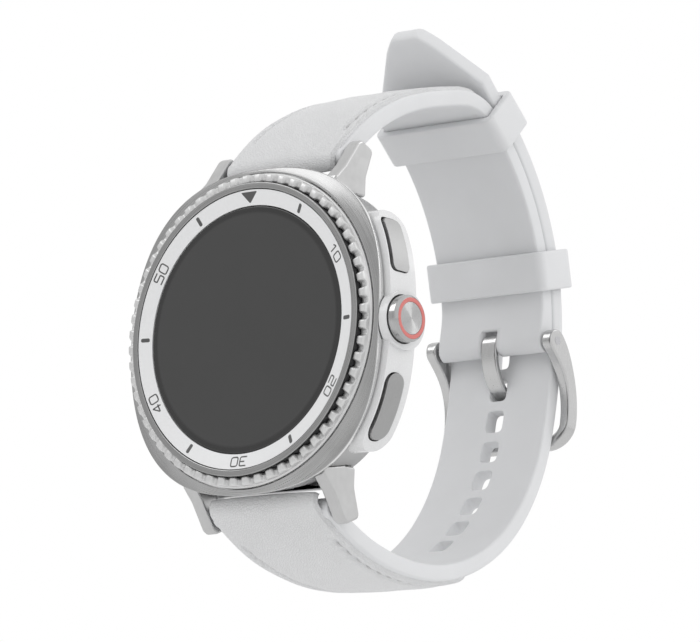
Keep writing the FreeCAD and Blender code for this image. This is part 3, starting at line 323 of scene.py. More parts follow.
def closed_ends(grid):
    """Adds a row at each end of a grid that gathers it to the middle of its last row."""
    def gathered(row):
        return np.repeat(row.mean(0)[None, None], grid.shape[1], 1)
    return np.concatenate([gathered(grid[0]), grid, gathered(grid[-1])])


def piece(name, parts, finish, body, slot, *nodes, crease=40.0):
    """Joins parts made in millimetres into one mesh, with its seams and poles closed, on a body."""
    spots = []
    faces = []
    count = 0
    for points, quads in parts:
        spots.append(points * MM)
        faces.append(quads + count)
        count += len(points)
    mesh = bpy.data.meshes.new(name)
    mesh.from_pydata(np.concatenate(spots).tolist(), [], np.concatenate(faces).tolist())
    work = bmesh.new()
    work.from_mesh(mesh)
    bmesh.ops.remove_doubles(work, verts=work.verts, dist=MERGE * MM)
    bmesh.ops.recalc_face_normals(work, faces=work.faces)
    work.to_mesh(mesh)
    work.free()
    mesh.shade_smooth()
    mesh.set_sharp_from_angle(angle=math.radians(crease))
    mesh.materials.append(finish.material)
    thing = in_scene(name, mesh)
    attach(thing, body)
    if nodes:
        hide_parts(*nodes)
    return thing


plate_high = corners_of("case_top_plate")[1]
CUSHION_POWER = 2.54
PLATE_HOLE = 19.92
PLATE_SEAT = -9.2
PLATE_RIM = (22.6, -9.9)
PLATE_DISH_END = (25.0, -9.0)
PLATE_SAG = 0.14
PLATE_BEVEL = 0.2
RIM_EASE = 0.05


def dish_depth(radius):
    """The dished face: a straight fall from rim to edge, sagging by 4 sag t (1 - t) at share t."""
    share = np.clip((radius - PLATE_RIM[0]) / (PLATE_DISH_END[0] - PLATE_RIM[0]), 0, 1)
    return PLATE_RIM[1] + share * (PLATE_DISH_END[1] - PLATE_RIM[1]) + 4 * PLATE_SAG * share * (1 - share)


plate_angle = np.linspace(0, FULL_TURN, 720, endpoint=False)
outline = plate_high[0] / (np.abs(np.cos(plate_angle)) ** CUSHION_POWER
                           + np.abs(np.sin(plate_angle)) ** CUSHION_POWER) ** (1 / CUSHION_POWER)
plate_section = [(PLATE_HOLE, plate_high[1]), (PLATE_HOLE, PLATE_SEAT), (PLATE_RIM[0], PLATE_SEAT),
                 (PLATE_RIM[0], PLATE_RIM[1] + RIM_EASE), (PLATE_RIM[0] + RIM_EASE, PLATE_RIM[1])]
plate_rows = [(reach + 0 * outline, depth + 0 * outline) for reach, depth in plate_section]
for share in np.linspace(0.1, 1.0, 10):
    reach = PLATE_RIM[0] + RIM_EASE + share * (outline - PLATE_BEVEL - PLATE_RIM[0] - RIM_EASE)
    plate_rows.append((reach, dish_depth(reach)))
edge_depth = dish_depth(outline - PLATE_BEVEL)
for turn in np.linspace(0, math.pi / 2, 5)[1:]:
    plate_rows.append((outline - PLATE_BEVEL * (1 - math.sin(turn)),
                       edge_depth + PLATE_BEVEL * (1 - math.cos(turn))))
plate_rows.append((outline - 0.04, plate_high[1] - 0.04 + 0 * outline))
plate_rows.append((outline - 0.08, plate_high[1] + 0 * outline))
plate_grid = np.stack([np.stack([reach * np.cos(plate_angle), depth, reach * np.sin(plate_angle)], -1)
                       for reach, depth in plate_rows], 1)
plate_spot = plate_steel.place()
fall = (plate_steel.reach(plate_spot) - PLATE_RIM[0]) / (PLATE_DISH_END[0] - PLATE_RIM[0])
sunk = fall * (PLATE_DISH_END[1] - PLATE_RIM[1]) + fall * (1 - fall) * (4 * PLATE_SAG) + PLATE_RIM[1]
# painted highlight: behind the dished face, on the bevel and outer side, the plate gets a lighter grey than
# the brushed face, as well as the lower roughness of polish
plate_steel.cover(plate_steel.ramp(plate_steel.axis(plate_spot, 1) - sunk, 0.03, 0.09), grey(0.8), 0.22, 1.0)
piece("dished_top_plate", [panel(plate_grid, True, True)], plate_steel, "watch", "brushed_steel",
      "case_top_plate", crease=30)

# ---------------------------------------------------------------- side guard
# The guard is glossy white moulded plastic along the 3 o'clock side, with a recess for each side button
# and a round boss for the quick button.
gloss = Finish("white_gloss_plastic", Coat_Weight=0.35, Coat_Roughness=0.08, Specular_IOR_Level=0.4)
flow = gloss.grain((0.35, 0.35, 0.35))
skin_grain = gloss.grain((5, 5, 5))
gloss.surface(flow, grey(0.74, 0.004), grey(0.78, 0.006), skin_grain, (0.2, 0.3), 0.001)
eased("side_guard", gloss, "watch", 0.1, 38.0, 3)

# ---------------------------------------------------------------- side buttons
# Each side button is a steel bar that follows the case, satin-finished along its length, on a round stem.
satin = Finish("button_steel", Metallic=1.0)
streak = satin.grain((9, 9, 0.7))
satin.surface(streak, grey(0.34), grey(0.44), streak, (0.3, 0.42), 0.003)
for name in ("upper_button", "lower_button"):
    eased(name + "_cap", satin, name, 0.16, 38.0)


# ---------------------------------------------------------------- quick button
# The quick button is a turned steel drum with a polished wall and bevel. A ring of red enamel and a
# turned disc, cut with fine rings, are let into its face.
def turned_y(profile, steps=240):
    """A profile of (radius r, depth y) turned round the dial's axis: x = r cos a, z = r sin a."""
    angle = np.linspace(0, FULL_TURN, steps, endpoint=False)[:, None]
    radius, depth = np.array(profile, float).T
    grid = np.stack([radius * np.cos(angle), depth + 0 * angle, radius * np.sin(angle)], -1)
    return panel(grid, True, True)


def turned_x(profile, depth, steps=120):
    """A profile of (x, radius r) turned about a line along X: y = depth + r cos a, z = r sin a."""
    angle = np.linspace(0, FULL_TURN, steps, endpoint=False)[:, None]
    across, radius = np.array(profile, float).T
    grid = np.stack([across + 0 * angle, depth + radius * np.cos(angle), radius * np.sin(angle)], -1)
    return panel(grid, True, True)


quick_low, quick_high = corners_of("quick_button_cap")
ring_low, ring_high = corners_of("quick_button_ring")
disc_high = corners_of("quick_button_disc")[1]
quick_y = (quick_low[1] + quick_high[1]) / 2
quick_radius = quick_high[2]
inlay_floor = ring_low[0]
face_x = quick_high[0]
BEVEL = 0.45
polish = Finish("quick_button_polish", Metallic=1.0)
turning = polish.grain((6, 0.8, 0.8))
polish.surface(turning, grey(0.38), grey(0.52), turning, (0.1, 0.2), 0.002)
drum = rounded([(quick_low[0], 0), (inlay_floor, 0), (inlay_floor, ring_high[2]), (face_x, ring_high[2]),
                (face_x - BEVEL, quick_radius), (quick_low[0], quick_radius)], [0, 0, 0, 0.04, 0.12, 0.1], 5)
piece("quick_button_drum", [turned_x(drum, quick_y)], polish, "quick_button", "brushed_steel",
      "quick_button_cap")
enamel_section = rounded([(inlay_floor, disc_high[2]), (face_x, disc_high[2]), (face_x, ring_high[2]),
                          (inlay_floor, ring_high[2])], [0, 0.09, 0.09, 0], 5)
piece("quick_button_enamel", [turned_x(enamel_section, quick_y)], inner_finishes["red_enamel"],
      "quick_button", "red_enamel", "quick_button_ring")
RINGS = 44
ring_radius = np.linspace(0, disc_high[2] - 0.1, RINGS * 4 + 1)
ring_face = face_x - 0.03 - 0.006 * (1 - np.cos(ring_radius / ring_radius[-1] * RINGS * FULL_TURN))
disc_section = np.concatenate([
    [(inlay_floor, 0)], np.stack([ring_face, ring_radius], -1),
    [(face_x - 0.06, disc_high[2] - 0.03), (face_x - 0.12, disc_high[2]), (inlay_floor, disc_high[2])]])
disc_steel = Finish("turned_disc_steel", Metallic=1.0)
lathe_mark = disc_steel.grain((0.4, 0.4, 0.4))
disc_steel.surface(lathe_mark, grey(0.42), grey(0.52), lathe_mark, (0.2, 0.26))
piece("quick_button_turned_disc", [turned_x(disc_section, quick_y)], disc_steel, "quick_button",
      "brushed_steel", "quick_button_disc", crease=80)

# ---------------------------------------------------------------- glass
# A flat disc of hardened glass over the display, black behind, with a faint ground edge.
glass = Finish("cover_glass_black", Roughness=0.06, Coat_Weight=0.3, Coat_Roughness=0.02)
oil = glass.grain((0.12, 0.12, 0.12))
far_out = glass.reach(glass.place())
shade = glass.mix(oil, grey(0.036), grey(0.041))
glass.surface(glass.ramp(far_out, 16.5, 16.9), shade, grey(0.016), oil, (0.05, 0.09))
eased("cover_glass", glass, "watch", 0.06)

# ---------------------------------------------------------------- number ring
# A lacquered white ring slopes up from the glass to the bezel. It carries a stroke every ten minutes
# from five past, the tens between them, and a triangle at twelve, filled with dark grey lacquer.
ring_low, ring_high = corners_of("number_ring")
glass_low = corners_of("cover_glass")[0]
RING_INNER = 17.75
ring_outer = ring_high[0]
ring_slope = (ring_low[1] - glass_low[1]) / (ring_outer - RING_INNER)
ring_middle = (RING_INNER + ring_outer) / 2
MARK_PROUD = 0.012
MARK_SUNK = -0.05
lacquer = Finish("white_lacquer", Coat_Weight=0.25, Coat_Roughness=0.1)
orange_peel = lacquer.grain((2.5, 2.5, 2.5))
lacquer.surface(orange_peel, grey(0.79, 0.006), grey(0.83, 0.008), orange_peel, (0.32, 0.42), 0.001)
painted("number_ring", lacquer)
ink = Finish("grey_ink", Roughness=0.5)
ink_grain = ink.grain((9, 9, 9))
ink.surface(ink_grain, grey(0.07), grey(0.1), ink_grain, (0.4, 0.55))


def on_ring(flat, minute_angle, lift):
    """Puts (right, up) points on the ring's slope, at an angle clockwise from twelve, up being outwards."""
    right, up = flat[..., 0], flat[..., 1]
    reach = ring_middle + up
    across = reach * math.sin(minute_angle) + right * math.cos(minute_angle)
    upward = reach * math.cos(minute_angle) - right * math.sin(minute_angle)
    depth = glass_low[1] + (np.hypot(across, upward) - RING_INNER) * ring_slope - lift
    return np.stack([across, depth, upward], -1)


def inlay(outline, minute_angle):
    """A flat shape with a little thickness: its outline drawn in to its middle, above and below."""
    middle = np.repeat(outline.mean(0)[None], len(outline), 0)
    rows = ((middle, MARK_SUNK), (outline, MARK_SUNK), (outline, MARK_PROUD), (middle, MARK_PROUD))
    return panel(np.stack([on_ring(points, minute_angle, lift) for points, lift in rows]))


def pen_line(points, minute_angle, width, closed):
    """A line of even width along points: each point moved half a width to both sides."""
    along = np.roll(points, -1, 0) - np.roll(points, 1, 0)
    if not closed:
        along[0] = points[1] - points[0]
        along[-1] = points[-1] - points[-2]
    along /= np.linalg.norm(along, axis=1)[:, None]
    aside = np.stack([-along[:, 1], along[:, 0]], -1) * width / 2
    edges = ((-1, MARK_SUNK), (-1, MARK_PROUD), (1, MARK_PROUD), (1, MARK_SUNK))
    grid = np.stack([on_ring(points + side * aside, minute_angle, lift) for side, lift in edges], 1)
    return panel(grid if closed else closed_ends(grid), True, closed)


# Each digit is one or two pen lines on a square one unit wide and high, and whether the line closes.
DIGITS = {
    "0": [([(0, 0), (1, 0), (1, 1), (0, 1)], True)],
    "1": [([(0.3, 0.72), (0.72, 1), (0.72, 0)], False)],
    "2": [([(0, 1), (1, 1), (1, 0.52), (0, 0.52), (0, 0), (1, 0)], False)],
    "3": [([(0, 1), (1, 1), (1, 0), (0, 0)], False), ([(0.3, 0.52), (1, 0.52)], False)],
    "4": [([(0.76, 0), (0.76, 1), (0, 0.3), (1, 0.3)], False)],
    "5": [([(1, 1), (0, 1), (0, 0.55), (1, 0.55), (1, 0), (0, 0)], False)],
}
DIGIT_CORNER = {"0": 0.36, "3": 0.3}
DIGIT_HIGH = 1.32
DIGIT_WIDE = 1.2
DIGIT_STEP = 1.62
PEN = 0.2
marks = []
for tens in range(1, 6):
    for place, digit in enumerate("%d0" % tens):
        for strokes, closed in DIGITS[digit]:
            flat = (np.array(strokes) - (0.5, 0.5)) * (DIGIT_WIDE, DIGIT_HIGH)
            flat = rounded(flat + (DIGIT_STEP * (place - 0.5), 0), DIGIT_CORNER.get(digit, 0.17), 6, closed)
            marks.append(pen_line(flat, math.radians(60 * tens), PEN, closed))
STROKE = np.array([(-0.28, -0.7), (0.28, -0.7), (0.28, 0.7), (-0.28, 0.7)])
for step in range(6):
    marks.append(inlay(rounded(STROKE, 0.27, 6), math.radians(30 + 60 * step)))
POINTER = [(-1.52, 0.8), (0, -0.82), (1.52, 0.8)]
marks.append(inlay(rounded(POINTER, 0.28, 6), 0.0))
piece("number_ring_marks", marks, ink, "watch", "ring_white")

# ---------------------------------------------------------------- turning bezel
# The bezel is three pieces that turn together: a brushed steel rim, a black liner under it, and a ring
# with sixty milled and tumbled teeth, whose crests are satin and rounded.
rim_low, rim_high = corners_of("bezel_rim")
BORE = 20.05
rim_steel = brushed_round("rim_steel", grey(0.3), grey(0.42), 0.26, 12, 0.003)
RIM_WALL = 20.85
RIM_FACE_THICK = 0.13
rim_spot = rim_steel.place()
rim_under = rim_low[1] + RIM_FACE_THICK
under_face = rim_steel.ramp(rim_steel.axis(rim_spot, 1), rim_under, rim_under + 0.03)
at_wall = rim_steel.ramp(rim_steel.reach(rim_spot), RIM_WALL, RIM_WALL + 0.02)
rim_steel.cover(under_face * at_wall, grey(0.012), 0.5, 0.0)
rim_section = rounded([(BORE, rim_high[1]), (BORE, rim_low[1]), (rim_high[0], rim_low[1]),
                       (rim_high[0], rim_high[1])], [0, 0.14, 0.14, 0], 5)
piece("bezel_bright_rim", [turned_y(rim_section, 360)], rim_steel, "bezel", "brushed_steel", "bezel_rim")
TEETH = 60
STEPS_PER_TOOTH = 16
FLANK = 2.6
NOTCH_SHARE = 0.3
# Crest profile as (radius, depth, how far it moves outwards and back where a notch is cut).
TOOTH = np.array([
    (20.95, -10.30, 0, 0), (20.95, -10.42, 0.06, 0), (20.96, -10.98, 0.30, 0.44), (21.00, -11.12, 0.36, 0.56),
    (21.08, -11.21, 0.36, 0.64), (21.22, -11.25, 0.28, 0.69), (21.60, -11.25, 0.08, 0.70),
    (21.98, -11.23, 0, 0.68), (22.14, -11.16, 0, 0.61), (22.23, -11.02, 0, 0.47), (22.25, -10.80, 0, 0.28),
    (22.25, -10.30, 0, 0.02), (22.28, -10.19, 0, 0), (22.36, -10.15, 0, 0), (22.43, -10.12, 0, 0),
    (22.45, -10.02, 0, 0), (22.45, -9.58, 0, 0), (22.38, -9.50, 0, 0), (BORE, -9.50, 0, 0),
    (BORE, -10.30, 0, 0)])
angle = np.linspace(0, FULL_TURN, TEETH * STEPS_PER_TOOTH, endpoint=False)
wave = np.cos(TEETH * (angle - math.pi / 2))
notch = (0.5 + 0.5 * np.tanh(FLANK * (wave - NOTCH_SHARE)) / math.tanh(FLANK * (1 - NOTCH_SHARE)))[:, None]
notch = np.clip(notch, 0, 1)
radius = TOOTH[:, 0] + notch * TOOTH[:, 2]
depth = TOOTH[:, 1] + notch * TOOTH[:, 3]
grip_grid = np.stack([radius * np.cos(angle)[:, None], depth, radius * np.sin(angle)[:, None]], -1)
tumbled = Finish("tumbled_steel", Metallic=0.75)
tumble = tumbled.grain((7, 7, 7))
patch = tumbled.grain((0.3, 0.3, 0.3))
tumbled.surface(patch, grey(0.62), grey(0.76), tumble, (0.36, 0.48), 0.004)
piece("bezel_teeth", [panel(grip_grid, True, True)], tumbled, "bezel", "grip_steel", "bezel_grip_ring",
      crease=60)

# ---------------------------------------------------------------- lugs
# Each lug bracket is a steel fork whose prongs hold the strap pin and whose tongue hooks under the case.
# The fork is brushed down its length, and its edges are broken by hand.
lug_steel = Finish("lug_steel", Metallic=1.0)
hairline = lug_steel.grain((7, 0.8, 0.8))
haze = lug_steel.grain((0.3, 0.3, 0.3))
lug_steel.surface(hairline * 0.5 + haze * 0.5, grey(0.46), grey(0.64), hairline, (0.28, 0.4), 0.004)
for side in ("upper", "lower"):
    eased(side + "_lug_bracket", lug_steel, "watch", 0.42, 14.0, 4, False)
    eased(side + "_lug_release", lug_steel, side + "_release", 0.1)


# ---------------------------------------------------------------- strap halves
# The strap is moulded white rubber in two halves. The short half runs over the wrist to the buckle, the
# long half under it and up outside the short one, with ten holes and a narrowed tip.
class Route:
    """A chain of arcs that touch, in the plane of the strap's side, walked from the lug pin."""

    def __init__(self, depth, height, heading):
        self.arcs = []
        self.end = (depth, height, math.radians(heading))

    def add(self, length, turn):
        self.arcs.append((*self.end, length, turn))
        depth, height = self.walk(self.arcs[-1], length)[:2]
        self.end = (depth, height, self.end[2] + turn)

    @staticmethod
    def walk(arc, distance):
        """Along an arc: heading h = h0 + kd, place = start + ((sin h - sin h0) / k, (cos h0 - cos h) / k)."""
        depth, height, heading, length, turn = arc
        bend = turn / length
        if abs(bend) < 1e-9:
            return (depth + distance * math.cos(heading), height + distance * math.sin(heading),
                    heading + 0 * distance)
        now = heading + bend * distance
        return (depth + (np.sin(now) - math.sin(heading)) / bend,
                height + (math.cos(heading) - np.cos(now)) / bend, now)

    def reach(self, depth, height, heading):
        """Two arcs that meet smoothly and end at a place with a heading."""
        heading = math.radians(heading)
        away = np.array([depth - self.end[0], height - self.end[1]])
        way_out = np.array([math.cos(self.end[2]), math.sin(self.end[2])])
        way_in = np.array([math.cos(heading), math.sin(heading)])
        both = way_out + way_in
        bend = 2 * (1 - way_out @ way_in)
        handle = (math.sqrt((away @ both) ** 2 + bend * (away @ away)) - away @ both) / bend
        middle = (away + (way_out - way_in) * handle) / 2
        for chord in (middle, away - middle):
            turn = 2 * math.remainder(math.atan2(chord[1], chord[0]) - self.end[2], FULL_TURN)
            size = float(np.linalg.norm(chord))
            self.add(size if abs(turn) < 1e-9 else size * turn / 2 / math.sin(turn / 2), turn)

    def length(self):
        return sum(arc[3] for arc in self.arcs)

    def at(self, station):
        """Depth, height and heading at distances along the route, straight on beyond its ends."""
        station = np.asarray(station, float)
        start = self.arcs[0]
        place = np.stack([start[0] + station * math.cos(start[2]), start[1] + station * math.sin(start[2]),
                          start[2] + 0 * station])
        walked = 0.0
        for arc in self.arcs:
            place = np.where(station >= walked, np.stack(self.walk(arc, station - walked)), place)
            walked += arc[3]
        depth, height, heading = self.end
        over = station - walked
        beyond = np.stack([depth + over * math.cos(heading), height + over * math.sin(heading),
                           heading + 0 * over])
        return np.where(over > 0, beyond, place)


def laid(route, station, across, offset):
    """Strap points: place along the route, offset times its left-hand normal, and a distance across it."""
    depth, height, heading = route.at(station)
    return np.stack([across, depth - offset * np.sin(heading), height + offset * np.cos(heading)], -1)


slide = next(joint for joint in frame["joints"] if joint["name"] == "upper_keeper_slide")
arc_y, arc_z = np.array(slide["pos_m"])[1:] / MM
pin_low, pin_high = corners_of("upper_strap_pin")
pin_y = (pin_low[1] + pin_high[1]) / 2
pin_z = (pin_low[2] + pin_high[2]) / 2
THICK = 2.4
SHORT_RADIUS = 38.6
LONG_RADIUS = SHORT_RADIUS + THICK + 0.05
TAIL = 17.8


def on_arc(radius, degrees):
    turn = math.radians(degrees)
    return (arc_y + radius * math.cos(turn), arc_z + radius * math.sin(turn))


short_route = Route(pin_y, pin_z, 52.5)
short_route.reach(15.9, 37.2, 15.5)
short_route.reach(*on_arc(SHORT_RADIUS, 50.5), 50.5 - 90)
short_route.add(SHORT_RADIUS * math.radians(50.5), -math.radians(50.5))
long_route = Route(pin_y, -pin_z, -36)
long_route.reach(19.8, -31.15, 3)
long_route.reach(40.2, -20.4, 53)
long_route.reach(*on_arc(LONG_RADIUS, -2), 88)
arc_reached = long_route.length()
long_route.add(LONG_RADIUS * math.radians(49), math.radians(49))
long_route.add(TAIL, 0.0)

LUG_WIDTH = 21.6
STRAP_WIDTH = 19.4
TAPER = (2.0, 25.0)


def half_width(route, station):
    """Half the strap's width: narrower in step with depth between the two taper depths."""
    depth = route.at(station)[0]
    return np.interp(depth, TAPER, (LUG_WIDTH / 2, STRAP_WIDTH / 2))


FLAT_STEPS = 16
SIDE_STEPS = 3
CORNER_STEPS = 4
EDGE = 0.42


def section_plan():
    """Unit section of the strap, once round: flat run, corner arc, side run, and so on.

    Each row is (across -1..1, up -1..1, cosine, sine of the corner's direction)."""
    flat = np.linspace(-1, 1, FLAT_STEPS + 1)
    side = np.linspace(-1, 1, SIDE_STEPS + 1)[1:-1]
    bend = np.linspace(0, math.pi / 2, CORNER_STEPS + 1)[1:]
    rows = [np.stack([flat, 1 + 0 * flat, 0 * flat, 1 + 0 * flat], -1),
            np.stack([1 + 0 * bend, 1 + 0 * bend, np.sin(bend), np.cos(bend)], -1),
            np.stack([1 + 0 * side, -side, 1 + 0 * side, 0 * side], -1),
            np.stack([1 + 0 * bend, -1 + 0 * bend, np.cos(bend - bend[0]), -np.sin(bend - bend[0])], -1)]
    half = np.concatenate(rows)
    other = half * (-1, -1, -1, -1)
    return np.concatenate([half[:-1], other[:-1]])


PLAN = section_plan()


def strap_section(route, station, half, low, high, edge=EDGE):
    """Rounded rectangles: x = across (half - e) + e cos, offset = middle + up (tall/2 - e) + e sin."""
    across, up, cosine, sine = PLAN.T[:, None, :]
    edge = np.minimum(edge, np.minimum(half, (high - low) / 2) * 0.95)[:, None]
    half, low, high = half[:, None], low[:, None], high[:, None]
    x = across * (half - edge) + edge * cosine
    offset = (low + high) / 2 + up * ((high - low) / 2 - edge) + edge * sine
    return laid(route, np.broadcast_to(station[:, None], x.shape), x, offset)


rubber = Finish("white_rubber_skin", Sheen_Weight=0.08, Specular_IOR_Level=0.35)
bloom = rubber.grain((0.16, 0.16, 0.16), 2.0)
matt = rubber.grain((11, 11, 11))
rubber.surface(bloom, grey(0.71, 0.01), grey(0.76, 0.012), matt, (0.5, 0.62), 0.006)


def half_chord(radius, distance):
    """Half the chord of a circle at a distance from its middle, and nothing beyond it: root of r2 - d2."""
    return np.sqrt(np.clip(radius ** 2 - distance ** 2, 0, None))


# short half: round at the lug pin, round again at the buckle pin, with a slot for the tang
KNUCKLE = 1.5
KNUCKLE_END = 0.9
BUCKLE_KNUCKLE = 1.55
SWELL = 6.5
buckle_low, buckle_high = corners_of("buckle_pin")
buckle_y = (buckle_low[1] + buckle_high[1]) / 2
buckle_z = (buckle_low[2] + buckle_high[2]) / 2
short_end = short_route.length()
buckle_station = short_end + short_route.end[1] - buckle_z
buckle_offset = buckle_y - short_route.end[0]
station = np.concatenate([-KNUCKLE * np.cos(np.linspace(0, math.pi / 2, 9)[1:-1]),
                          np.linspace(0, short_end - 1.5, 96),
                          buckle_station + BUCKLE_KNUCKLE * np.sin(np.linspace(-1.2, math.pi / 2, 18)[:-1])])
station = np.unique(np.round(station, 5))
near_pin = station > buckle_station
high = np.where(station < KNUCKLE_END, half_chord(KNUCKLE, station), THICK / 2)
bow = half_chord(BUCKLE_KNUCKLE, station - buckle_station)
swell = np.clip((station - buckle_station) / SWELL + 1, 0, 1)
swell = swell ** 2 * (3 - 2 * swell)
bow = np.where(near_pin, bow, BUCKLE_KNUCKLE)
low = (buckle_offset - bow) * swell - high * (1 - swell)
high = (buckle_offset + bow) * swell + high * (1 - swell)
short_grid = strap_section(short_route, station, half_width(short_route, station), low, high)
short_strap = piece("short_strap", [panel(closed_ends(short_grid))], rubber, "watch", "white_rubber",
                    "upper_strap", crease=50)

# the slot for the tang is cut with a block whose corners are eased
SLOT_HALF = 1.55
SLOT_TOP = 8.6
slot_plan = rounded([(-SLOT_HALF, buckle_z - 4), (SLOT_HALF, buckle_z - 4), (SLOT_HALF, SLOT_TOP),
                     (-SLOT_HALF, SLOT_TOP)], [0, 0, 0.35, 0.35], 5)
slot_rows = np.stack([np.stack([slot_plan[:, 0], reach + 0 * slot_plan[:, 0], slot_plan[:, 1]], -1)
                      for reach in (buckle_y - 6, buckle_y + 6)])
slot_cutter = piece("tang_slot_cutter", [panel(closed_ends(slot_rows))], rubber, "watch", "white_rubber")
cut = short_strap.modifiers.new("tang_slot", "BOOLEAN")
cut.operation = "DIFFERENCE"
cut.solver = "EXACT"
cut.object = slot_cutter
bpy.context.view_layer.update()
graph = bpy.context.evaluated_depsgraph_get()
carved = bpy.data.meshes.new_from_object(short_strap.evaluated_get(graph))
short_strap.modifiers.clear()
short_strap.data = carved
bpy.data.objects.remove(slot_cutter)

# long half: plain stretches, with a cell round each hole let into the run
HOLES = 10
HOLE_PITCH = 4.95
HOLE_FIRST = 8.6
HOLE_HALF = (1.55, 1.68)
HOLE_POWER = 4.5
HOLE_LIP = 0.16
CELL_STEPS = 10
TIP_TAPER = 9.8
TIP_HALF = 4.3
TIP_CUT = 2.2
TIP_ROUND = 0.7
long_end = long_route.length()
hole_stations = arc_reached + HOLE_FIRST - HOLE_PITCH * np.arange(HOLES)
cells_low = hole_stations[-1] - HOLE_PITCH / 2
cells_high = hole_stations[0] + HOLE_PITCH / 2
cell_line = np.linspace(cells_low, cells_high, HOLES * CELL_STEPS + 1)
before_cells = np.concatenate([-KNUCKLE * np.cos(np.linspace(0, math.pi / 2, 9)[1:-1]),
                               np.linspace(0, cells_low, 110)[:-1]])
tip_start = long_end - TIP_ROUND
after_cells = np.concatenate([np.linspace(cells_high, tip_start, 46)[1:],
                              tip_start + TIP_ROUND * np.sin(np.linspace(0, math.pi / 2, 7)[1:-1])])


def tip_half_width(station):
    """Half width near the tip: straight narrowing, then a cut corner."""
    full = half_width(long_route, station)
    start = long_end - TIP_TAPER
    return np.where(station < start, full, np.interp(
        station, [start, long_end - TIP_CUT, long_end], [STRAP_WIDTH / 2, TIP_HALF, TIP_HALF - TIP_CUT]))


def long_half_thick(station):
    rounding = np.clip((station - long_end + TIP_ROUND) / TIP_ROUND, 0, 1)
    tip = THICK / 2 * np.sqrt(np.clip(1 - rounding ** 2, 0.02, 1))
    return np.where(station < KNUCKLE_END, half_chord(KNUCKLE, station), tip)


def long_section(station):
    thick = long_half_thick(station)
    return strap_section(long_route, station, tip_half_width(station), -thick, thick)


lug_part = long_section(np.append(before_cells, cells_low))
tip_part = long_section(np.append(cells_high, after_cells))
lug_part = closed_ends(lug_part)[:-1]
tip_part = closed_ends(tip_part)[1:]
side_part = long_section(cell_line)
half_count = len(PLAN) // 2
right_side = side_part[:, FLAT_STEPS:half_count + 1]
left_side = np.concatenate([side_part[:, half_count + FLAT_STEPS:], side_part[:, :1]], 1)
strap_parts = [panel(lug_part), panel(tip_part), panel(right_side, False), panel(left_side, False)]

# once round a unit square, in the same steps as the section's flat run and the cell's length
line_x = np.linspace(-1, 1, FLAT_STEPS + 1)[:-1]
line_s = np.linspace(-1, 1, CELL_STEPS + 1)[:-1]
square = np.concatenate([np.stack([line_x, -1 + 0 * line_x], -1), np.stack([1 + 0 * line_s, line_s], -1),
                         np.stack([-line_x, 1 + 0 * line_x], -1), np.stack([-1 + 0 * line_s, -line_s], -1)])
round_share = (np.abs(square) ** HOLE_POWER).sum(1)[:, None] ** (-1 / HOLE_POWER)
lip = np.linspace(0, math.pi / 2, 4)
for centre in hole_stations:
    columns = []
    for face in (1, -1):
        run = []
        for share in (1.0, 0.6, 0.3, 0.12):
            run.append((share, HOLE_LIP, 0.0))
        for turn in lip:
            run.append((0.0, HOLE_LIP * (1 - math.sin(turn)), HOLE_LIP * (1 - math.cos(turn))))
        if face < 0:
            run = run[::-1]
        for share, grown, sunk in run:
            hole = square * round_share * (np.array(HOLE_HALF) + grown)
            reach_s = centre + square[:, 1] * HOLE_PITCH / 2
            outer_x = square[:, 0] * (tip_half_width(reach_s) - EDGE)
            x = hole[:, 0] * (1 - share) + outer_x * share
            s = centre + hole[:, 1] * (1 - share) + square[:, 1] * HOLE_PITCH / 2 * share
            columns.append(laid(long_route, s, x, face * (THICK / 2 - sunk) + 0 * s))
    strap_parts.append(panel(np.stack(columns, 0)))
piece("long_strap", strap_parts, rubber, "watch", "white_rubber", "lower_strap", crease=50)

# ---------------------------------------------------------------- leather panels
# A panel of white split leather is glued and stitched to the outside of each half, plump over the lug
# and turned round the strap's end. Two rows of thread pull it down along its edges.
LEATHER = 0.9
LEATHER_MARGIN = 0.9
LEATHER_LONG = {"short": 35.0, "long": 33.0}
SEAM_IN = 1.55
STITCH_PITCH = 2.35
NOSE = KNUCKLE + LEATHER - 0.3
NOSE_BACK = {1: 0.8, -1: 1.6}
WRAP = 1.75
leather_skin = Finish("white_leather_skin", Sheen_Weight=0.12, Specular_IOR_Level=0.3)
pores = leather_skin.node("TexVoronoi", {"feature": "DISTANCE_TO_EDGE"},
                          {"Vector": leather_skin.place(), "Scale": 2.6})
creases = leather_skin.ramp(pores, 0.0, 0.16)
soft = leather_skin.grain((1.2, 1.2, 1.2))
stain = leather_skin.grain((0.14, 0.14, 0.14), 2.0)
leather_skin.surface(stain * 0.6 + creases * 0.4, grey(0.7, 0.006), grey(0.79, 0.008), soft, (0.46, 0.6))
leather_skin.relief(creases * 0.55 + soft * 0.45, 0.09)
thread = Finish("grey_thread", Roughness=0.6, Sheen_Weight=0.3)
twist = thread.node("TexWave", {"wave_type": "BANDS", "bands_direction": "DIAGONAL"},
                    {"Vector": thread.place(), "Scale": 3.2, "Distortion": 0.6})
thread.feed(Base_Color=thread.mix(twist, grey(0.56), grey(0.7)), Roughness=thread.ramp(twist, 0, 1, 0.5, 0.7))
thread.relief(twist, 0.03)


class Wrapped:
    """A route that runs a little past its first point and then swings about that place, round the pin."""

    def __init__(self, route, side):
        self.route = route
        self.side = side
        self.back = NOSE_BACK[side]

    def at(self, station):
        depth, height, heading = self.route.at(np.maximum(station, -self.back))
        swing = np.minimum(station + self.back, 0) / NOSE
        return np.stack([depth, height, heading - self.side * swing])


def seam_place(route, station):
    """How far the stitch rows lie from the strap's middle."""
    return half_width(route, station) - LEATHER_MARGIN - SEAM_IN


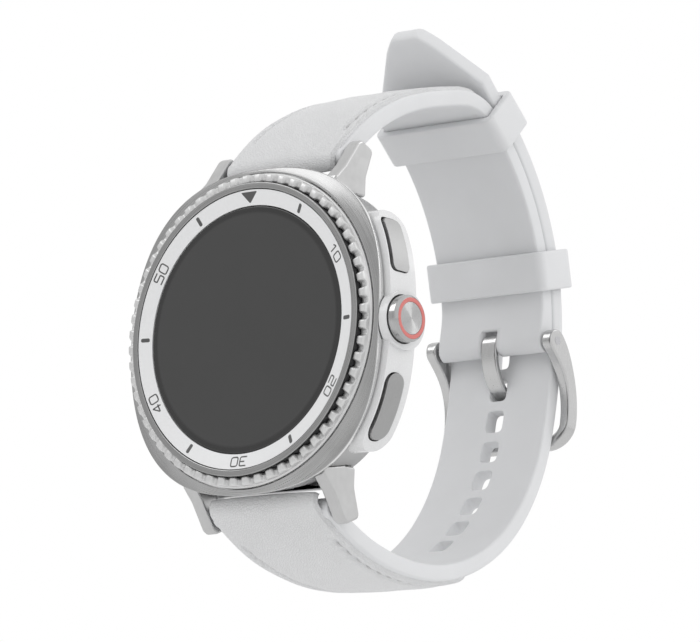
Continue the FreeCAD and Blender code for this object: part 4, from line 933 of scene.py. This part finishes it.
def leather_top(route, station, across, length):
    """The panel's height: plump in the middle, drawn down along both seams and at each needle hole."""
    half = (half_width(route, np.maximum(station, 0)) - LEATHER_MARGIN)
    seam = half - SEAM_IN
    crown = 0.64 + 0.26 * (1 - np.clip(np.abs(across) / half, 0, 1) ** 3)
    crown = crown * (1 + 0.3 * np.exp(-((station + 1) / 5) ** 2))
    crown = crown + 0.05 * np.sin(across * 0.9 + station * 0.35) * np.sin(station * 0.21 + 1)
    needle = 0.5 + 0.5 * np.cos(FULL_TURN * station / STITCH_PITCH)
    sewn = np.clip((station - 3.0) / 2.0, 0, 1) * np.clip((length - 1.0 - station) / 2.0, 0, 1)
    gap = (np.abs(across) - seam - 0.14 * needle) / 0.42
    crown = crown - sewn * (0.36 + 0.26 * needle) * np.exp(-gap ** 2)
    ends = np.clip((length - station) / 1.6, 0, 1)
    return crown * np.sqrt(np.clip(1 - (1 - ends) ** 2, 0.03, 1))


LEATHER_COLUMNS = 96
LEATHER_EDGE = 0.34
for name, route, side in (("short", short_route, 1), ("long", long_route, -1)):
    length = LEATHER_LONG[name]
    wrapped = Wrapped(route, side)
    start = -WRAP * NOSE - wrapped.back
    station = np.concatenate([np.linspace(start, 0, 26)[:-1], np.linspace(0, length, 190)])
    half = half_width(route, np.maximum(station, 0)) - LEATHER_MARGIN
    sweep = np.linspace(-1, 1, LEATHER_COLUMNS)
    across = sweep * half[:, None]
    grown = np.broadcast_to(station[:, None], across.shape)
    top = leather_top(route, grown, across, length)
    edge_run = np.clip((half[:, None] - np.abs(across)) / LEATHER_EDGE, 0, 1)
    top = top * np.sqrt(np.clip(1 - (1 - edge_run) ** 2, 0, 1))
    base = THICK / 2 + 0 * across
    tuck = np.clip((station - start) / 0.5, 0.05, 1)[:, None]
    upper = laid(wrapped, grown, across, side * (base + top * tuck))
    under = laid(wrapped, grown, across, side * base)
    panel_grid = np.concatenate([upper, under[:, ::-1]], 1)
    piece(name + "_leather", [panel(closed_ends(panel_grid))], leather_skin, "watch", "white_leather",
          {"short": "upper", "long": "lower"}[name] + "_strap_leather", crease=60)

    # a stitch is a short bowed rod: its ends dip into the leather, its middle lies on it
    count = int((length - 6.0) / STITCH_PITCH)
    turn = np.linspace(0, FULL_TURN, 8, endpoint=False)
    along = np.linspace(-1, 1, 7)
    stitches = []
    for row in (-1, 1):
        for number in range(count):
            middle = (number + 2.0 + 0.5) * STITCH_PITCH
            s = middle + along * 0.86
            slant = row * along * 0.14
            thickness = 0.2 * np.sqrt(1.02 - along ** 2)
            seam = row * seam_place(route, s) + slant
            rest = THICK / 2 + leather_top(route, s, seam, length) + 0.06 - 0.3 * along ** 4
            x = seam[:, None] + thickness[:, None] * np.cos(turn)
            lift = rest[:, None] + thickness[:, None] * np.sin(turn) * 0.8
            grid = laid(route, np.broadcast_to(s[:, None], x.shape), x, side * lift)
            stitches.append(panel(closed_ends(grid)))
    piece(name + "_stitches", stitches, thread, "watch", "white_leather")


# ---------------------------------------------------------------- keepers
# Two moulded rubber loops hold the long half against the short one. They slide along the strap by hand.
KEEPER_GAP = 0.25
KEEPER_WALL = 1.2
KEEPER_WIDE = 5.8
KEEPER_LIP = 0.35
inside_half = STRAP_WIDTH / 2 + KEEPER_GAP
inside_low = SHORT_RADIUS - THICK / 2 - KEEPER_GAP
inside_high = LONG_RADIUS + THICK / 2 + KEEPER_GAP
half_wide = KEEPER_WIDE / 2
wall_section = rounded([(0, -half_wide), (KEEPER_WALL, -half_wide), (KEEPER_WALL, half_wide), (0, half_wide)],
                       [0.2, KEEPER_LIP, KEEPER_LIP, 0.2], 5)


def loop_line(grow, corner):
    """A rounded rectangle about the strap: straight runs with quarter circles, walked in equal shares."""
    wide = inside_half + grow - corner
    tall = (inside_high - inside_low) / 2 + grow - corner
    angle = np.linspace(0, math.pi / 2, 8)
    points = []
    for quarter, (right, up) in enumerate(((1, 1), (-1, 1), (-1, -1), (1, -1))):
        turn = angle + quarter * math.pi / 2
        points.append(np.stack([right * wide + corner * np.cos(turn), up * tall + corner * np.sin(turn)], -1))
    return np.concatenate(points)


inner_line = loop_line(0.0, 0.2)
outer_line = loop_line(KEEPER_WALL, 1.4)
for name in ("upper", "lower"):
    low_corner, high_corner = corners_of(name + "_keeper")
    middle = (low_corner + high_corner) / 2
    tilt = math.atan2(middle[2] - arc_z, middle[1] - arc_y)
    share = (wall_section[:, 0] / KEEPER_WALL)[:, None, None]
    ring = inner_line[None] * (1 - share) + outer_line[None] * share
    radial = ring[..., 1] + (inside_low + inside_high) / 2
    axial = wall_section[:, 1][:, None] + 0 * radial
    grid = np.stack([ring[..., 0],
                     arc_y + radial * math.cos(tilt) - axial * math.sin(tilt),
                     arc_z + radial * math.sin(tilt) + axial * math.cos(tilt)], -1)
    piece(name + "_keeper_loop", [panel(grid, True, True)], rubber, "keeper_" + name, "white_rubber",
          name + "_keeper", crease=50)

# ---------------------------------------------------------------- buckle
# The buckle is a bent steel bow with a round bar across its foot, brushed on its flats and polished
# along its edges. A flat tang turns on the same pin and drops through a hole in the long half.
buckle_steel = Finish("buckle_steel", Metallic=1.0)
rub = buckle_steel.grain((7, 7, 0.9))
veil = buckle_steel.grain((0.25, 0.25, 0.25))
buckle_steel.surface(rub * 0.5 + veil * 0.5, grey(0.5), grey(0.62), rub, (0.2, 0.28), 0.0012)
ARM_MIDDLE = 11.05
ARM_HALF = 0.87
BAR = (48.15, -8.4)
BAR_RADIUS = 1.05
BOW_BULGE = 2.2
EYE = 1.7
EYE_TAPER = 4.5
BOW_CORNER = 3.0
ARM_EDGE = 0.3
chord = math.hypot(BAR[0] - buckle_y, BAR[1] - buckle_z)
lean = math.atan2(BAR[1] - buckle_z, BAR[0] - buckle_y)
half_bow = 2 * math.atan(2 * BOW_BULGE / chord)
bow_route = Route(buckle_y, buckle_z, math.degrees(lean + half_bow))
bow_route.add(chord * half_bow / math.sin(half_bow), -2 * half_bow)
foot = bow_route.length()
arm_line = np.concatenate([-EYE * np.cos(np.linspace(0, math.pi / 2, 12)[1:-1]),
                           np.linspace(0, foot - BOW_CORNER, 40)])
bend = np.linspace(0, math.pi / 2, 12)[1:]
inner_corner = ARM_MIDDLE - BOW_CORNER
# half of the bow, from one eye to the middle of the foot: (across, along the arm, normal's two parts)
bow_half = np.concatenate([
    np.stack([ARM_MIDDLE + 0 * arm_line, arm_line, 1 + 0 * arm_line, 0 * arm_line], -1),
    np.stack([inner_corner + BOW_CORNER * np.cos(bend), foot - BOW_CORNER + BOW_CORNER * np.sin(bend),
              np.cos(bend), np.sin(bend)], -1),
    np.stack([np.linspace(inner_corner, 0, 12)[1:], foot + np.zeros(11), np.zeros(11), np.ones(11)], -1)])
bow_line = np.concatenate([bow_half, (bow_half * (-1, 1, -1, 1))[-2::-1]])
bow_x, bow_s, normal_x, normal_s = bow_line.T[:, :, None]
eye_half = np.where(bow_s < 0, half_chord(EYE, bow_s),
                    BAR_RADIUS + (EYE - BAR_RADIUS) * np.exp(-(bow_s / EYE_TAPER) ** 2))
into_foot = np.abs(normal_s)
wide = ARM_HALF + (BAR_RADIUS - ARM_HALF) * into_foot
edge = np.minimum(ARM_EDGE + (BAR_RADIUS * 0.9 - ARM_EDGE) * into_foot, eye_half * 0.9)
aside = PLAN[:, 0] * (wide - edge) + edge * PLAN[:, 2]
lift = PLAN[:, 1] * (eye_half - edge) + edge * PLAN[:, 3]
bow_grid = laid(bow_route, bow_s + aside * normal_s, bow_x + aside * normal_x, lift)
piece("buckle_bow", [panel(closed_ends(bow_grid))], buckle_steel, "buckle", "brushed_steel", "buckle_frame",
      crease=35)
CURL = 1.3
TANG_INSIDE = 1.1
CURL_RISE = 1.5
TANG_HALF = 1.4
TANG_THICK = 0.8
TANG_DOWN = 0.8
TANG_EDGE = 0.2
tang_route = Route(buckle_y - TANG_INSIDE + CURL, buckle_z + CURL_RISE, 180)
tang_route.add(CURL * math.pi / 2, math.pi / 2)
tang_route.add(TANG_DOWN, 0.0)
tang_route.reach(47.4, -0.85, -25)
tang_route.reach(49.45, -4.0, -86)
tang_route.reach(49.7, -10.3, -91)
tang_end = tang_route.length()
station = np.concatenate([np.linspace(0.02, tang_end - TANG_HALF, 150),
                          tang_end - TANG_HALF * (1 - np.sin(np.linspace(0, math.pi / 2, 12)[1:-1]))])
tip_share = np.clip((station - tang_end + TANG_HALF) / TANG_HALF, 0, 1)
tang_side = TANG_HALF - 0.2 * np.clip((station - tang_end + 7) / 7, 0, 1)
tang_side = tang_side * np.sqrt(1 - 0.97 * tip_share ** 2)
tang_flat = TANG_THICK / 2 * np.clip(station / 0.3, 0.4, 1)
tang_grid = strap_section(tang_route, station, tang_side, -tang_flat, tang_flat, TANG_EDGE)
piece("buckle_tongue", [panel(closed_ends(tang_grid))], buckle_steel, "tang", "brushed_steel", "buckle_tang",
      crease=50)

# ---------------------------------------------------------------- floor, light and camera
# A plain pale floor lies well under the watch. A white surround that is greyer on one side lets the
# steel show its form, and two soft boxes light it from the upper left and from behind.
FLOOR_HEIGHT = -0.17
FLOOR_HALF = 3.0
floor_mesh = bpy.data.meshes.new("floor")
floor_mesh.from_pydata([(-FLOOR_HALF, -FLOOR_HALF, FLOOR_HEIGHT), (FLOOR_HALF, -FLOOR_HALF, FLOOR_HEIGHT),
                        (FLOOR_HALF, FLOOR_HALF, FLOOR_HEIGHT), (-FLOOR_HALF, FLOOR_HALF, FLOOR_HEIGHT)],
                       [], [(0, 1, 2, 3)])
floor = in_scene("floor", floor_mesh)
pale = Finish("pale_floor", Roughness=0.6)
pale.feed(Base_Color=grey(0.86))
floor_mesh.materials.append(pale.material)

world = bpy.data.worlds.new("white_surround")
bpy.context.scene.world = world
world.use_nodes = True
nodes = world.node_tree.nodes
links = world.node_tree.links
GREY_SIDE = (-0.62, -0.78, 0.05)
direction = nodes.new("ShaderNodeTexCoord")
facing = nodes.new("ShaderNodeVectorMath")
facing.operation = "DOT_PRODUCT"
facing.inputs[1].default_value = GREY_SIDE
links.new(direction.outputs["Generated"], facing.inputs[0])
fall = nodes.new("ShaderNodeMapRange")
fall.interpolation_type = "SMOOTHSTEP"
for socket, number in (("From Min", -0.1), ("From Max", 0.85), ("To Min", 1.0), ("To Max", 0.66)):
    fall.inputs[socket].default_value = number
links.new(facing.outputs["Value"], fall.inputs["Value"])
links.new(fall.outputs[0], nodes["Background"].inputs["Strength"])
nodes["Background"].inputs["Color"].default_value = (1, 1, 1, 1)


def soft_box(name, place, size, power):
    """A square area light that faces the watch."""
    lamp = bpy.data.lights.new(name, "AREA")
    lamp.size = size
    lamp.energy = power
    box = in_scene(name, lamp)
    box.location = place
    box.rotation_euler = (-Vector(place)).to_track_quat("-Z", "Y").to_euler()


soft_box("key_box", (-0.45, -0.55, 0.62), 0.5, 1.6)
soft_box("back_box", (0.5, 0.45, 0.5), 0.4, 0.8)

AZIMUTH = math.radians(40.7)
ELEVATION = math.radians(-10.35)
ROLL = math.radians(2.17)
back = Vector((math.sin(AZIMUTH) * math.cos(ELEVATION), -math.cos(AZIMUTH) * math.cos(ELEVATION),
               math.sin(ELEVATION)))
level = Vector((0, 0, 1)).cross(back).normalized()
upright = back.cross(level)
right = level * math.cos(ROLL) + upright * math.sin(ROLL)
up = upright * math.cos(ROLL) - level * math.sin(ROLL)
camera_data = bpy.data.cameras.new("camera")
camera_data.sensor_width = 36.0
camera_data.lens = 257.14
camera = in_scene("camera", camera_data)
spot = (right * 14.69 + up * 1.166 + back * 702.2 + Vector((0, -11, 0))) * MM
camera.matrix_world = Matrix.Translation(spot) @ Matrix((right, up, back)).transposed().to_4x4()
bpy.context.scene.camera = camera
bpy.context.scene.view_settings.view_transform = "Standard"
